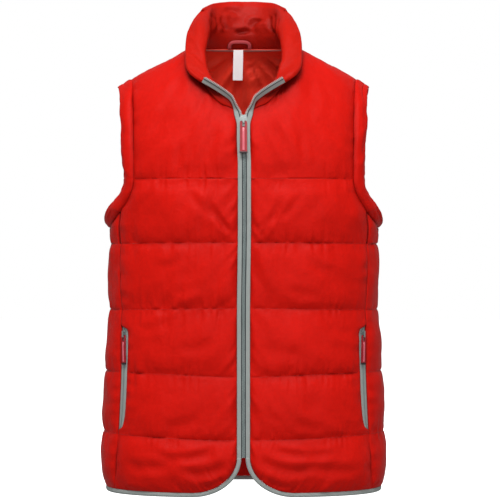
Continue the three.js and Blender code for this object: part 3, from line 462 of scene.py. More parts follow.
def cloth(name, colour, rough, threads=2600.0, sheen=0.0, bump=0.05, spread=0.1, crinkle=0.0, specular=0.5, hollow=1.0):
    """A woven cloth's material: weave bump, uneven dye, a little sheen at grazing angles, and, if asked, painted shade
    in grooves, folds and under overhangs.
    """
    material = bpy.data.materials.new(name)
    material.use_nodes = True
    tree = material.node_tree
    shader = tree.nodes["Principled BSDF"]
    woven = node(tree, "ShaderNodeGroup", node_tree=weave)
    woven.inputs[0].default_value = threads
    shade = node(tree, "ShaderNodeGroup", node_tree=fade)
    shade.inputs[0].default_value = spread
    tone = node(tree, "ShaderNodeVectorMath", {0: (*colour, ), "Scale": shade.outputs[0]}, operation="SCALE")
    darker = node(tree, "ShaderNodeMapRange", {"Value": woven.outputs[0], "To Min": 0.93, "To Max": 1.04})
    colour_out = node(tree, "ShaderNodeVectorMath", {0: tone.outputs[0], "Scale": darker.outputs[0]}, operation="SCALE")
    if hollow < 1:  # painted shade: the colour is darkened where little sky is open above the cloth, in grooves, folds and under the collar
        facing = node(tree, "ShaderNodeNewGeometry")
        raised = node(tree, "ShaderNodeVectorMath", {0: facing.outputs["Normal"], 1: (0.0, 0.0, 0.75)}, operation="ADD")
        skyward = node(tree, "ShaderNodeVectorMath", {0: raised.outputs[0]}, operation="NORMALIZE")
        open_sky = node(tree, "ShaderNodeAmbientOcclusion", {"Distance": 0.10, "Normal": skyward.outputs[0]}, samples=12)
        depth = node(tree, "ShaderNodeMapRange", {"Value": open_sky.outputs["AO"], "From Min": 0.38, "From Max": 0.86, "To Min": hollow, "To Max": 1.0})
        colour_out = node(tree, "ShaderNodeVectorMath", {0: colour_out.outputs[0], "Scale": depth.outputs[0]}, operation="SCALE")
    tree.links.new(colour_out.outputs[0], shader.inputs["Base Color"])
    roughness = node(tree, "ShaderNodeMapRange", {"Value": woven.outputs[1], "To Min": rough - 0.06, "To Max": rough + 0.06})
    tree.links.new(roughness.outputs[0], shader.inputs["Roughness"])
    shader.inputs["Sheen Weight"].default_value = sheen
    shader.inputs["Sheen Roughness"].default_value = 0.4
    shader.inputs["Specular IOR Level"].default_value = specular
    last = None
    if crinkle:
        place = node(tree, "ShaderNodeTexCoord")
        folds = node(tree, "ShaderNodeTexNoise", {"Vector": place.outputs["Object"], "Scale": 75.0, "Detail": 4.0, "Distortion": 0.8})
        last = node(tree, "ShaderNodeBump", {"Height": folds.outputs["Fac"], "Strength": crinkle, "Distance": 0.002})
    made = node(tree, "ShaderNodeBump", {"Height": woven.outputs[0], "Strength": bump, "Distance": 0.0004})
    if last:
        tree.links.new(last.outputs[0], made.inputs["Normal"])
    tree.links.new(made.outputs[0], shader.inputs["Normal"])
    return material


# painted shade: the shell's red is darkened down to 0.28 of itself in grooves, folds and under the collar
shell = cloth("red_shell", (0.79, 0.009, 0.004), 0.42, sheen=0.0, bump=0.25, spread=0.20, crinkle=0.35, specular=0.08, hollow=0.28)

# Folds seen on the wearer's left and right front, in millimetres, mirrored onto +X.
LEFT_FOLDS = [
    (62, -244, 14, -300, -3, 5, 1.9), (92, -236, 40, -286, -3, 6, 1.6), (52, -262, 18, -312, -2, 4, 1.5),
    (140, -232, 168, -268, 3, 6, 1.4), (96, -60, 120, -118, 5, 9, 1.4), (40, -130, 66, -190, -4, 8, 1.3),
    (120, -100, 150, -160, 4, 8, 1.2), (84, -150, 96, -196, 2, 6, 1.2), (16, -640, 112, -660, 12, 7, 3.0),
    (36, -628, 150, -638, 9, 6, 3.0), (84, -652, 182, -666, 6, 7, 2.6), (30, -672, 74, -690, 7, 5, 2.2), (30, -470, 90, -482, 4, 8, 1.3),
    (70, -585, 130, -600, 5, 8, 1.4), (150, -560, 176, -590, 3, 6, 1.2), (120, -440, 168, -452, 4, 7, 1.2),
    (30, -560, 60, -592, 3, 6, 1.1), (92, -335, 140, -362, 4, 7, 1.2), (60, -380, 120, -396, 3, 7, 1.2),
]
RIGHT_FOLDS = [
    (60, -240, 13, -308, -3, 5, 2.0), (88, -232, 34, -280, -4, 6, 1.7), (44, -268, 16, -300, -2, 4, 1.4),
    (132, -228, 160, -262, 3, 6, 1.4), (92, -50, 124, -112, 6, 9, 1.5), (34, -140, 58, -196, -3, 8, 1.2),
    (116, -92, 140, -150, 4, 8, 1.3), (96, -158, 104, -200, 2, 6, 1.3), (18, -646, 100, -664, 12, 7, 3.1),
    (40, -630, 140, -642, 9, 6, 3.2), (92, -650, 186, -660, 6, 7, 2.6), (26, -668, 66, -688, 7, 5, 2.2), (40, -462, 104, -476, 5, 8, 1.3),
    (60, -580, 124, -598, 5, 8, 1.5), (146, -552, 172, -586, 3, 6, 1.2), (112, -432, 160, -446, 4, 7, 1.2),
    (24, -540, 48, -580, 3, 6, 1.1), (86, -330, 130, -354, 4, 7, 1.3), (52, -374, 110, -392, 3, 7, 1.2),
]

front_in = front_inside()
sewn = ((row_channel < 5) & (curve(SLIT_Z, SLIT_WIDTH, row_height) <= 0) & (np.arange(len(row_channel)) <= seam_row))
front_in[sewn, -1] += unit(front_in[sewn, -1] - front_in[sewn, -2]) * (GAP + LAP)
front_in[-1, FRONT_COLUMNS // 2 + 1:, 1] += GAP
front_across, front_up = lengths(front_in)
front_seams = [front_across, front_across[:, -1:] - front_across]
# The side seam is drawn in less than the other edges, except along the pocket zip and at the armhole.
seam_z = row_height[:, None] - (np.array(row_channel == 0) * (1 - row_share) * 80)[:, None]
side_joined = 0.6 * (1 - curve(SLIT_Z, SLIT_WIDTH, seam_z) / 9.5) * ease((SEAM_TOP - 6 - seam_z) / 20)
side_joined = side_joined * (row_channel < 5)[:, None] * ease((seam_z - HEM - 10) / 30)
front_joined = side_joined * (front_across > front_across[:, -1:] / 2)
front_out = {
    "left": quilted(front_in, 1, LEFT_FOLDS, 11, front_seams, front_joined),
    "right": quilted(front_in, 1, RIGHT_FOLDS, 47, front_seams, front_joined),
}
mirror = np.array([-1.0, 1.0, 1.0])
for end, flip in (("left", np.ones(3)), ("right", mirror)):
    panel = wall(f"quilted_front_{end}", front_in * flip, front_out[end] * flip, shell)
    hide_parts(f"front_{end}")

# Quilted back: one panel of the same padded cloth from side seam to side seam, passing under the
# arms, with the same stitched lines as the fronts.
BACK_COLUMNS = 84  # half of the back; the last four fourteenths pass under the arm
BACK_FOLDS = [
    (-120, -250, -60, -292, 4, 8, 1.4), (70, -248, 130, -284, -4, 8, 1.4), (-40, -330, 30, -352, 5, 9, 1.3),
    (80, -340, 150, -372, 4, 8, 1.3), (-160, -352, -90, -384, -4, 8, 1.3), (-30, -440, 60, -462, 5, 8, 1.3),
    (-150, -452, -80, -474, 4, 8, 1.2), (90, -436, 150, -470, -4, 8, 1.3), (-90, -545, 10, -566, 6, 9, 1.3),
    (40, -560, 140, -584, 5, 8, 1.4), (-170, -560, -110, -590, 4, 8, 1.3), (-140, -640, -20, -660, 8, 8, 1.6),
    (20, -642, 150, -656, 8, 8, 1.6), (-60, -90, -36, -160, 4, 9, 1.4), (50, -80, 34, -150, -4, 9, 1.4),
    (-120, -100, -150, -160, 4, 9, 1.3), (118, -96, 146, -158, 4, 9, 1.3), (-10, -120, 4, -190, 3, 9, 1.1),
]


def back_half():
    c = np.linspace(0, 14, BACK_COLUMNS + 1)[None, :]
    t, z = row_share[:, None], row_height[:, None]
    under = 180 - np.minimum(c, 10) / 10 * (180 - UNDERARM)
    past = np.clip((c - 10) / 4, 0, 1)

    def level(z):
        return ring_point(np.where(c <= 10, under, mix(UNDERARM, ring_angle(body(z, "seam") + GAP / 2, z), past)), z)

    hem = level(mix(HEM + BINDING + GAP, LINES[0], t))
    angle = mix(UNDERARM, ring_angle(body(np.float64(CHEST), "seam") + GAP / 2, CHEST), past)
    angle = np.where(c <= 10, under, angle)
    rise = armhole_height(np.minimum(angle, UNDERARM))
    low = np.clip(t / SEAM_SHARE, 0, 1)
    under_arm = ring_point(angle, mix(LINES[3], rise, low))
    z_blade = mix(ARMHOLE_BOTTOM, CHEST, np.clip((t - SEAM_SHARE) / (1 - SEAM_SHARE), 0, 1))
    blade = ring_point(mix(180, armhole_angle(z_blade, ARMHOLE_BACK), np.minimum(c, 10) / 10), z_blade)
    end = top_end(180 - 90 * np.minimum(c / 4, 1), (c - 4) / 6)
    low_x = ring_point(mix(180, ARMHOLE_BACK, np.minimum(c, 10) / 10), np.float64(CHEST))[..., 0]
    top = roll_point("back", low_x, end, np.clip(c - 4, 0, 1), t)
    pick = row_channel[:, None, None]
    upper = np.where((t <= SEAM_SHARE)[..., None], under_arm, blade)
    return np.where(pick == 0, hem, np.where(pick == 5, top, np.where(pick == 4, upper, level(z))))


half = back_half()
back_in = np.concatenate([(half * mirror)[:, :0:-1], half], 1)
back_across, back_up = lengths(back_in)
under_columns = BACK_COLUMNS * 4 // 14
body_end = 2 * BACK_COLUMNS - under_columns  # the column that meets the armhole
rows, columns = back_in.shape[:2]
row_number, column_number = np.mgrid[:rows, :columns]
above_arm = row_number > seam_row
first = np.where(above_arm, under_columns, 0)
last = np.where(above_arm, body_end, columns - 1)
from_first = back_across - np.take_along_axis(back_across, first, 1)
to_last = np.take_along_axis(back_across, last, 1) - back_across
in_panel = (column_number >= first) & (column_number <= last)
arm_gap = np.where((column_number < under_columns) | (column_number > body_end), np.maximum(back_up[seam_row] - back_up, 0), 1000.0)
back_seams = [np.where(in_panel, from_first, 0), np.where(in_panel, to_last, 0), arm_gap]
back_joined = side_joined * np.ones_like(back_across) * (row_number <= seam_row)
back_out = quilted(back_in, -1, BACK_FOLDS, 83, back_seams, back_joined)
keep = np.ones((rows - 1, columns - 1), bool)
keep[seam_row:, :under_columns] = False
keep[seam_row:, body_end:] = False
panel = wall("quilted_back", back_in, back_out, shell, keep)
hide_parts("back")

# Armhole bands, left and right: a strip of the shell cloth folded round padding and sewn to the edge
# of the armhole, so that it stands out round the shoulder as a soft roll.
BAND_WIDTH, BAND_PUFF = 25.0, 9.0
ARMHOLE_CENTRE = np.array([0.0, 6.0, -180.0])
BAND_LEAN = ((0, 0.25, 0.6, 1), (78, 62, 45, 27))  # degrees into the armhole, against the share of its height


def smooth_through(points, n):
    """n points along a smooth curve through a list of point arrays."""
    keys = np.arange(len(points))
    weights = np.stack([curve(keys, row, np.linspace(0, keys[-1], n)) for row in np.eye(len(points))], -1)
    return np.tensordot(weights, np.stack(points), 1)


def tube(name, sections, material, loop=False):
    """A closed tube through rows of points; its ends are capped unless it is a loop."""
    n, m = sections.shape[:2]
    number = np.arange(n * m).reshape(n, m)
    here, there = (number, np.roll(number, -1, 0)) if loop else (number[:-1], number[1:])
    quads = [np.stack([here, np.roll(here, -1, 1), np.roll(there, -1, 1), there], -1).reshape(-1, 4)]
    if not loop:
        k = np.arange(m // 2 - 1)
        cap = np.stack([k, k + 1, m - 2 - k, m - 1 - k], -1)
        quads += [cap[:, ::-1], cap + (n - 1) * m]
    points = sections.reshape(-1, 3)
    place = np.stack(lengths(sections), -1).reshape(-1, 2) * MM
    return mesh_piece(name, points, outward(points, np.concatenate(quads)), place, material)


def armhole_loop(front, back):
    """The armhole's edge: up the front, down the back, and under the arm to the side seam."""
    return np.concatenate([front[seam_row:, -1], back[seam_row:, body_end][::-1], back[seam_row, body_end + 1:]])


for end, flip in (("left", np.ones(3)), ("right", mirror)):
    seed = 131 if end == "left" else 171
    inner, outer = armhole_loop(front_in, back_in), armhole_loop(front_out[end], back_out)
    outer = inner + unit(outer - inner) * WALL
    to_centre = unit((ARMHOLE_CENTRE - inner) * [0, 1, 1])
    height = np.clip((inner[:, 2] - ARMHOLE_BOTTOM) / (-58 - ARMHOLE_BOTTOM), 0, 1)
    lean = np.radians(curve(*BAND_LEAN, height))[:, None]
    along_x = np.array([1.0, 0, 0])
    leave = along_x * np.cos(lean) + to_centre * np.sin(lean)
    rise = along_x * np.sin(lean) - to_centre * np.cos(lean)
    low, high = inner - leave * LAP, outer - leave * LAP
    flatter = mix(1, 0.35, ease((height - 0.82) / 0.18))[:, None]  # less padding over the shoulder's tip

    def wide(share, up):
        return low + leave * BAND_WIDTH * share + rise * up * flatter

    ring = [low, wide(0.5, 0), wide(0.95, 0.5), wide(1.04, 4), wide(0.98, 8.5), wide(0.75, WALL + BAND_PUFF - 1),
            wide(0.45, WALL + BAND_PUFF), high + leave * BAND_WIDTH * 0.14 + rise * BAND_PUFF * 0.62 * flatter, high]
    sections = np.swapaxes(smooth_through(ring, 34), 0, 1)
    away = unit(sections - sections.mean(1, keepdims=True))
    walk = lengths(sections)[1]
    t = np.linspace(0, 1, 34)[None, :]
    fix = np.sin(math.pi * t) ** 0.6
    ripple = 1.0 * rumple(walk / 9 + t * 0.8, t * 2.2, seed) * (1 - 0.5 * np.sin(math.pi * t))
    ripple = ripple + 1.3 * rumple(walk / 26, t * 1.6, seed + 1) + 0.4 * rumple(walk / 5, t * 4, seed + 2) - 1.6
    closing = np.clip(np.minimum(walk, walk[-1:] - walk) / 12, 0, 1)
    sections = sections + away * (ripple * fix * closing)[..., None]
    band = tube(f"padded_armhole_band_{end}", sections * flip, shell, loop=True)
    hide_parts(f"armhole_band_{end}")

# Collar: a padded stand of the shell cloth, sewn round the neck, that opens out towards its rounded
# upper edge. Its inside shows, and it creases where it turns from the front to the back.
RIM_ANGLE = (0, 22, 40, 56, 72, 90, 120, 150, 180)
RIM_X = (63, 84, 89, 88, 80, 68, 54, 30, 0)
RIM_Y = (-113, -98, -68, -38, -10, 16, 54, 78, 87)
RIM_Z = (-64, -46, -18, 14, 38, 58, 72, 78, 79)
COLLAR_STAND, COLLAR_INSET, COLLAR_LIFT, COLLAR_HALF, RIM_HEIGHT = 26.0, 8.0, 4.0, 5.3, 4.0
COLLAR_FILL = ((0, 0.2, 0.4, 0.64, 0.86, 1), (0.4, 0.6, 1, 1, 0.95, 0.7))
COLLAR_ROWS, RIM_STEPS = 44, 9
neck_columns = FRONT_COLUMNS // 2
back_neck = slice(BACK_COLUMNS + BACK_COLUMNS * 4 // 14, BACK_COLUMNS - 1, -1)
neck_inner = np.concatenate([front_in[-1, :neck_columns + 1], back_in[-1, back_neck]])
neck_outer = np.concatenate([front_out["left"][-1, :neck_columns + 1], back_out[-1, back_neck]])
neck_angle = np.concatenate([np.linspace(0, 90, neck_columns + 1), np.linspace(90, 180, BACK_COLUMNS * 4 // 14 + 1)])
neck_run = np.gradient(neck_inner, axis=0)
neck_run[-1] = (-1, 0, 0)
leave = unit(np.cross(neck_outer - neck_inner, neck_run))
leave[np.abs(neck_angle - 90) < 6] = (-1, 0, 0)
spread = np.exp(-np.linspace(-2, 2, 13) ** 2)
padded_leave = np.concatenate([np.repeat(leave[:1], 6, 0), leave, leave[-2:-8:-1] * mirror * [-1, 1, 1]])
leave = unit(np.stack([np.convolve(padded_leave[:, k], spread, "valid") for k in range(3)], -1))
foot = (neck_inner + neck_outer) / 2 + leave * COLLAR_INSET + [0, 0, COLLAR_LIFT]
rim = np.stack([curve(RIM_ANGLE, values, neck_angle) for values in (RIM_X, RIM_Y, RIM_Z)], -1)
stand = mix(16.0, COLLAR_STAND, ease(neck_angle / 45))
bend = mix(foot + xyz(0, 0, stand), (foot + rim) / 2, mix(0.62, 0.35, ease(neck_angle / 45))[:, None])
way = np.linspace(0, 1, COLLAR_ROWS + 1)[:, None, None]
middle = mix(mix(foot, bend, way), mix(bend, rim, way), way)
both = lambda grid: np.concatenate([grid, grid[..., -2::-1, :] * mirror], -2)
middle, base_inner, base_outer = both(middle), both(neck_inner - leave * LAP), both(neck_outer - leave * LAP)
angle_there = np.concatenate([neck_angle, neck_angle[-2::-1]])[None, :]


def relaxed(face, centre, reach, rounds):
    """The face with the cloth evened out round one angle of the neck."""
    ease_here = 0.85 * np.exp(-((angle_there[:, 1:-1, None] - centre) / reach) ** 2)
    for _ in range(rounds):
        beside = (face[:-2, 1:-1] + face[2:, 1:-1] + face[1:-1, :-2] + face[1:-1, 2:]) / 4
        face[1:-1, 1:-1] = mix(face[1:-1, 1:-1], beside, ease_here)
    return face


middle = relaxed(middle, 86, 22, 30)
facing = normals(middle, 1)
walk, climb = lengths(middle)
walk = walk - walk[:, -1:] / 2
from_zip = (walk[:, -1:] - np.abs(walk))
share = way[..., 0]
fill = mix(WALL / 2, COLLAR_HALF * curve(*COLLAR_FILL, share), 1 - np.exp(-from_zip / 6))


# Folds in the collar's inside: from (distance from the back middle, share of the height) to the same,
# as for the fronts, with the share counted in hundredths.
COLLAR_FOLDS = [
    (-34, 62, -12, 34, -5, 6, 3.2), (-14, 36, 18, 28, 4, 6, 2.6), (30, 30, 44, 72, 4, 5, 2.6), (52, 26, 60, 70, -3, 5, 2.2),
    (-62, 24, -56, 74, 4, 5, 2.6), (4, 70, 40, 84, -4, 7, 1.6), (-84, 30, -76, 82, 4, 6, 2.4), (80, 30, 86, 84, -4, 6, 2.6),
    (-130, 40, -112, 80, 5, 7, 1.6), (128, 36, 110, 78, -5, 7, 1.6),
]


def collar_side(sign, base, seed):
    """One face of the collar, from the neck seam to the rim."""
    ripple = 0.9 * rumple(walk / 12, share * 1.4, seed) * np.exp(-share / 0.35)
    ripple = ripple + 1.2 * rumple(walk / 30, share * 2.4, seed + 1) + 0.6 * rumple(walk / 13 + share * 2, share * 3, seed + 2)
    ripple = ripple + 0.5 * rumple(walk / 9, share * 0.9, seed + 3) * ease((share - 0.6) / 0.4)
    if sign < 0:  # the inside bulges into the neck at both sides, where the collar turns to the back
        turn_bulge = 11 * np.exp(-((angle_there - 88) / 26) ** 2) * np.sin(math.pi * np.clip(share * 1.02, 0, 1)) ** 0.8
        ripple = ripple + turn_bulge + 1.6 * creases(walk, share * 100, COLLAR_FOLDS)
    ripple = ripple * (1 - np.exp(-from_zip / 8)) * ease(share / 0.15)
    thin = 1 - 0.75 * np.exp(-((angle_there - 85) / 16) ** 2) * (sign > 0)  # the outside is pressed flat where it turns
    face = middle + facing * (sign * (fill + ripple) * thin)[..., None]
    knee = COLLAR_ROWS // 5
    low = way[:knee] / way[knee]
    face[:knee] = mix(base, face[knee], low) + facing[:knee] * sign * 1.2 * np.sin(math.pi * low)
    return face


inner_face = relaxed(collar_side(-1, base_inner, 201), 90, 20, 3)
outer_face = relaxed(collar_side(1, base_outer, 231), 85, 24, 60)
tip = unit(middle[-1] - middle[-2])
around = np.linspace(0, math.pi, RIM_STEPS + 2)[1:-1, None, None]
centre, reach = (inner_face[-1] + outer_face[-1]) / 2, (inner_face[-1] - outer_face[-1]) / 2
roll = centre + reach * np.cos(around) + tip * RIM_HEIGHT * np.sin(around)
sections = np.swapaxes(np.concatenate([inner_face, roll, outer_face[::-1]]), 0, 1)
sections = sections[:, :sections.shape[1] // 2 * 2]
# painted shade: the collar's cloth is a darker copy of the shell's red, 0.64 against 0.79, for the shade that falls on
# the collar
collar_cloth = cloth("red_collar_shell", (0.64, 0.011, 0.004), 0.42, bump=0.25, spread=0.2, crinkle=0.35, specular=0.08, hollow=0.28)
collar = tube("padded_collar", sections, collar_cloth)
# painted shade: the inside of the collar at the back takes a still darker copy, 0.56, for the shade inside the neck
inside_cloth = cloth("red_collar_inside", (0.56, 0.012, 0.005), 0.42, bump=0.25, spread=0.14, crinkle=0.4, specular=0.12, hollow=0.35)
collar.data.materials.append(inside_cloth)
# painted shade: the darker inside copy goes on the inner faces of the collar at the back, below its rim
turned_back = np.flatnonzero(angle_there[0] > 90)
for side in collar.data.polygons:
    column, row = np.divmod(np.array(side.vertices), sections.shape[1])
    side.material_index = int(row.max() < COLLAR_ROWS - 3 and column.min() >= turned_back[0] and column.max() <= turned_back[-1])
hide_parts("collar")

# Hem binding: grey woven tape folded over the cut edge of the fronts and the back, and sewn through.
tape_cloth = cloth("grey_tape", (0.40, 0.44, 0.42), 0.75, threads=1500.0, sheen=0.1, bump=0.4, spread=0.1, specular=0.25)


def binding(name, inner, outer, foot, nodes):
    down = unit(foot - inner)
    drop = foot - inner + down * 1.8
    low_inner, low_outer = inner + drop, outer + drop
    bulge = unit(outer - inner) * 0.5
    low_middle = (low_inner + low_outer) / 2
    ring = [inner + down * GAP, mix(inner, low_inner, 0.55) - bulge, mix(low_inner, low_middle, 0.25) - down * 0.8,
            low_middle, mix(low_outer, low_middle, 0.25) - down * 0.8, mix(outer, low_outer, 0.55) + bulge, outer + down * GAP]
    sections = np.swapaxes(smooth_through(ring, 20), 0, 1)
    strip = tube(name, sections, tape_cloth)
    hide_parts(*nodes)
    return strip


u = np.linspace(0, 1, FRONT_COLUMNS + 1)
foot_x, foot_z = hem_curve(u, GAP)
front_foot = xyz(np.where(u > ARCH_SHARE, front_in[0, :, 0], foot_x), front_in[0, :, 1], foot_z)
for end, flip in (("left", np.ones(3)), ("right", mirror)):
    strip = binding(f"front_hem_binding_{end}", front_in[0] * flip, front_out[end][0] * flip, front_foot * flip, [f"hem_binding_front_{end}"])
back_foot = xyz(back_in[0, :, 0], back_in[0, :, 1], HEM + GAP)
strip = binding("back_hem_binding", back_in[0], back_out[0], back_foot, ["hem_binding_back"])

# Front zip: two woven tapes sewn to the edges of the fronts and the collar, with moulded teeth along
# their inner edges. The teeth mesh up to the slider, and above it the tapes part.
TAPE_SHARE, TAPE_THICK = 0.35, 1.2
TOOTH = (3.4, 1.25, 2.3)  # across the zip, along it and out of it
TOOTH_PITCH = 2.5
SLIDER_HEIGHT = -126.0
# painted shade and painted light: the teeth are one grey plastic in two copies, a dark one below the slider where the
# meshed teeth shade each other, and a pale one for the lit ends of the parted teeth above it
dark_teeth = cloth("zip_teeth_plastic", (0.20, 0.25, 0.245), 0.35, threads=300.0, bump=0.02, spread=0.2)
pale_teeth = cloth("zip_teeth_plastic_pale", (0.62, 0.62, 0.60), 0.4, threads=300.0, bump=0.02, spread=0.2)
# painted shadow: a near-black cord along each tape beside the teeth stands in for the shade in the groove between teeth
# and tape
dark_cord = cloth("zip_cord", (0.035, 0.045, 0.05), 0.6, threads=1500.0, bump=0.3, spread=0.1)
seam_inner = np.concatenate([front_in[:, 0], inner_face[COLLAR_ROWS // 10:, 0]])
seam_outer = np.concatenate([front_in[:, 0] + unit(front_out["left"][:, 0] - front_in[:, 0]) * WALL, outer_face[COLLAR_ROWS // 10:, 0]])
run = unit(np.gradient(seam_inner, axis=0))
face_out = unit(seam_outer - seam_inner)
to_chain = unit(np.cross(face_out, run))
on_front = np.arange(len(seam_inner)) < len(front_in)
# Above the neck seam the tape turns over the collar's edge, so that its face shows from the front.
past_seam = np.clip((np.arange(len(seam_inner)) - len(front_in) + 8) / 17, 0, 1)[:, None]
turned = ease(past_seam) * math.radians(84)
seam = mix(seam_inner, seam_outer, mix(TAPE_SHARE, 1.15, ease(past_seam))) + to_chain * (GAP + 1.4 * ease(past_seam))
to_chain, face_out = (to_chain * np.cos(turned) - face_out * np.sin(turned), face_out * np.cos(turned) + to_chain * np.sin(turned))
width = np.full(len(seam), TAPE_WIDTH)
width[on_front] = ((seam[:, 0] - chain_edge(seam[:, 2])) / -to_chain[:, 0])[on_front]
chain = seam + to_chain * width[:, None]
# It passes the neck seam without a kink: both edges run smoothly from the front to the collar.
near = slice(len(front_in) - 16, len(front_in) + 20)
blend = ease(np.minimum(np.arange(36), np.arange(35, -1, -1)) / 9)[:, None]
for edge_line in (seam, chain, to_chain, face_out):
    edge_line[near] = mix(edge_line[near], softened(edge_line[near].T, 9).T, blend)
to_chain, face_out = unit(to_chain), unit(face_out)


def teeth(name, path, out, across, start, material, size, pitch):
    """Small rounded blocks along a path; start shifts them by a share of the pitch."""
    block = bmesh.new()
    bmesh.ops.create_cube(block, size=1.0)
    bmesh.ops.scale(block, vec=size, verts=block.verts)
    bmesh.ops.bevel(block, geom=block.edges[:], offset=0.28, segments=1, affect="EDGES")
    shape = np.array([v.co[:] for v in block.verts])
    sides = [[v.index for v in f.verts] for f in block.faces]
    block.free()
    walk = np.concatenate([[0], np.cumsum(np.linalg.norm(np.diff(path, axis=0), axis=1))])
    at = np.arange(pitch * (0.5 + start), walk[-1] - pitch * 0.4, pitch)
    pick = lambda v: np.stack([np.interp(at, walk, v[:, k]) for k in range(3)], -1)
    centre, o, a = pick(path), unit(pick(out)), unit(pick(across))
    up = unit(np.cross(a, o))
    points = centre[:, None] + shape[None, :, :1] * a[:, None] + shape[None, :, 1:2] * up[:, None] + shape[None, :, 2:] * o[:, None]
    count = len(shape)
    faces = [[i * count + k for k in side] for i in range(len(at)) for side in sides]
    flat = points.reshape(-1, 3)
    return mesh_piece(name, flat, faces, flat[:, [0, 2]] * MM, material, smooth=False)


for end, flip in (("left", np.ones(3)), ("right", mirror)):
    across_steps = np.linspace(0, 1, 9)[None, :, None]
    face = mix(seam[:, None], chain[:, None], across_steps)
    wave = 0.22 * rumple(lengths(face)[1] / 9, lengths(face)[0] / 8, 301 if end == "left" else 307)
    wave = wave + 0.35 * np.exp(-((lengths(face)[0] - 1.6) / 0.8) ** 2)
    outer = face + face_out[:, None] * (TAPE_THICK + wave)[..., None]
    tape = wall(f"zip_tape_woven_{end}", face * flip, outer * flip, tape_cloth)
    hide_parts(f"zip_tape_{end}")
    path = chain + face_out * (TAPE_THICK * 0.55) - to_chain * 0.1
    start = 0.0 if end == "left" else 0.5
    meshed = chain[:, 2] < SLIDER_HEIGHT
    rows = []
    # painted shade below the slider, painted light above it
    for part, chosen, material in (("closed", meshed, dark_teeth), ("open", ~meshed, pale_teeth)):
        rows.append(teeth(f"zip_teeth_{part}_{end}", path[chosen] * flip, face_out[chosen] * flip, to_chain[chosen] * flip, start, material, TOOTH, TOOTH_PITCH))
    # painted shadow: the near-black cord beside the teeth
    line = chain - to_chain * 2.5 + face_out * (TAPE_THICK + 0.25)
    turn = np.linspace(0, 2 * math.pi, 8, endpoint=False)[None, :, None]
    cord = line[:, None] + 0.75 * (to_chain[:, None] * np.cos(turn) + 0.6 * face_out[:, None] * np.sin(turn))
    rows.append(tube(f"zip_cord_{end}", cord * flip, dark_cord))

# Pocket zips, left and right: a short grey zip set in the slit of the side seam.
slit_rows = np.flatnonzero((row_height > -609.3) & (row_height < -440.7) & (row_channel > 0) & (row_channel < 5))
POCKET_TOOTH, POCKET_PITCH = (2.2, 0.9, 1.3), 1.9
for end, flip in (("left", np.ones(3)), ("right", mirror)):
    a_in, b_in = front_in[slit_rows, -1], back_in[slit_rows, -1]
    a_out, b_out = a_in + ring_normal(a_in) * WALL, b_in + ring_normal(b_in) * WALL
    over = unit(mix(b_in, b_out, TAPE_SHARE) - mix(a_in, a_out, TAPE_SHARE))
    out = unit(a_out - a_in + b_out - b_in)
    left, right = mix(a_in, a_out, TAPE_SHARE) + over * GAP, mix(b_in, b_out, TAPE_SHARE) - over * GAP
    steps = np.linspace(0, 1, 9)[None, :, None]
    face = mix(left[:, None], right[:, None], steps)
    rib = 0.45 * (1 - np.abs(2 * np.linspace(0, 1, 9)[None, :] - 1) ** 2)
    outer = face + out[:, None] * (TAPE_THICK + rib)[..., None]
    zip_face = wall(f"pocket_zip_tape_{end}", face * flip, outer * flip, tape_cloth)
    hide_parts(f"pocket_zip_{end}")
    path = (left + right) / 2 + out * (TAPE_THICK + 0.5)
    # painted shade: the pocket coil takes the dark copy of the teeth's plastic
    row = teeth(f"pocket_zip_coil_{end}", path * flip, out * flip, over * flip, 0.0, dark_teeth, POCKET_TOOTH, POCKET_PITCH)

# Back lining, seen through the neck: thin red cloth hung from the neck and shoulder seams, with the
# slack creases that run down from the neck.
# the lining's own red, made paler than the shell's, with painted light standing in for the light that reaches inside
# the neck
lining_cloth = cloth("red_lining", (1.0, 0.05, 0.022), 0.42, bump=0.25, spread=0.15, crinkle=0.4, specular=0.25)
THIN = 0.8
reach = BACK_COLUMNS * 9 // 14
lining_rows, lining_columns = slice(seam_row + 1, None), slice(BACK_COLUMNS - reach, BACK_COLUMNS + reach + 1)
lining_base, back_facing = back_in[lining_rows, lining_columns], normals(back_in, -1)[lining_rows, lining_columns]
x, z = lining_base[..., 0], lining_base[..., 2]
spoke, radius = np.arctan2(x, 10 - z), np.hypot(x, z)
slack = 6.0 * (rumple(spoke * 8, radius / 90, 401) + 1) / 2 + 3.4 * rumple(spoke * 19, radius / 50, 402) + 1.8 * rumple(x / 20, z / 20, 403)
held = ease(lengths(lining_base)[1] / 12) * ease((-z - 2) / 22) * ease((x - x[:, :1]) / 10) * ease((x[:, -1:] - x) / 10)
slack = np.maximum(slack + 0.6, 0) * held
lining = wall("back_lining_cloth", lining_base - back_facing * (GAP + THIN + slack)[..., None], lining_base - back_facing * (GAP + slack)[..., None], lining_cloth)
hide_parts("back_lining")

# Neck tape: a narrow grey tape over the back neck seam. The hanger loop and the blank label hang from it.
tape_columns = slice(BACK_COLUMNS - 18, BACK_COLUMNS + 19)
top_rows = np.flatnonzero((row_channel == 5) & (row_share >= 0.955) & (row_share <= 0.997))
tape_base, tape_facing = back_in[top_rows, tape_columns], normals(back_in, -1)[top_rows, tape_columns]
LIFT = 2 * GAP + THIN
neck_tape_cloth = cloth("pale_red_tape", (0.62, 0.22, 0.19), 0.7, threads=1500.0, bump=0.4, spread=0.2, specular=0.25)
neck_tape = wall("neck_seam_tape", tape_base - tape_facing * (LIFT + THIN), tape_base - tape_facing * LIFT, neck_tape_cloth)
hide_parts("neck_tape")

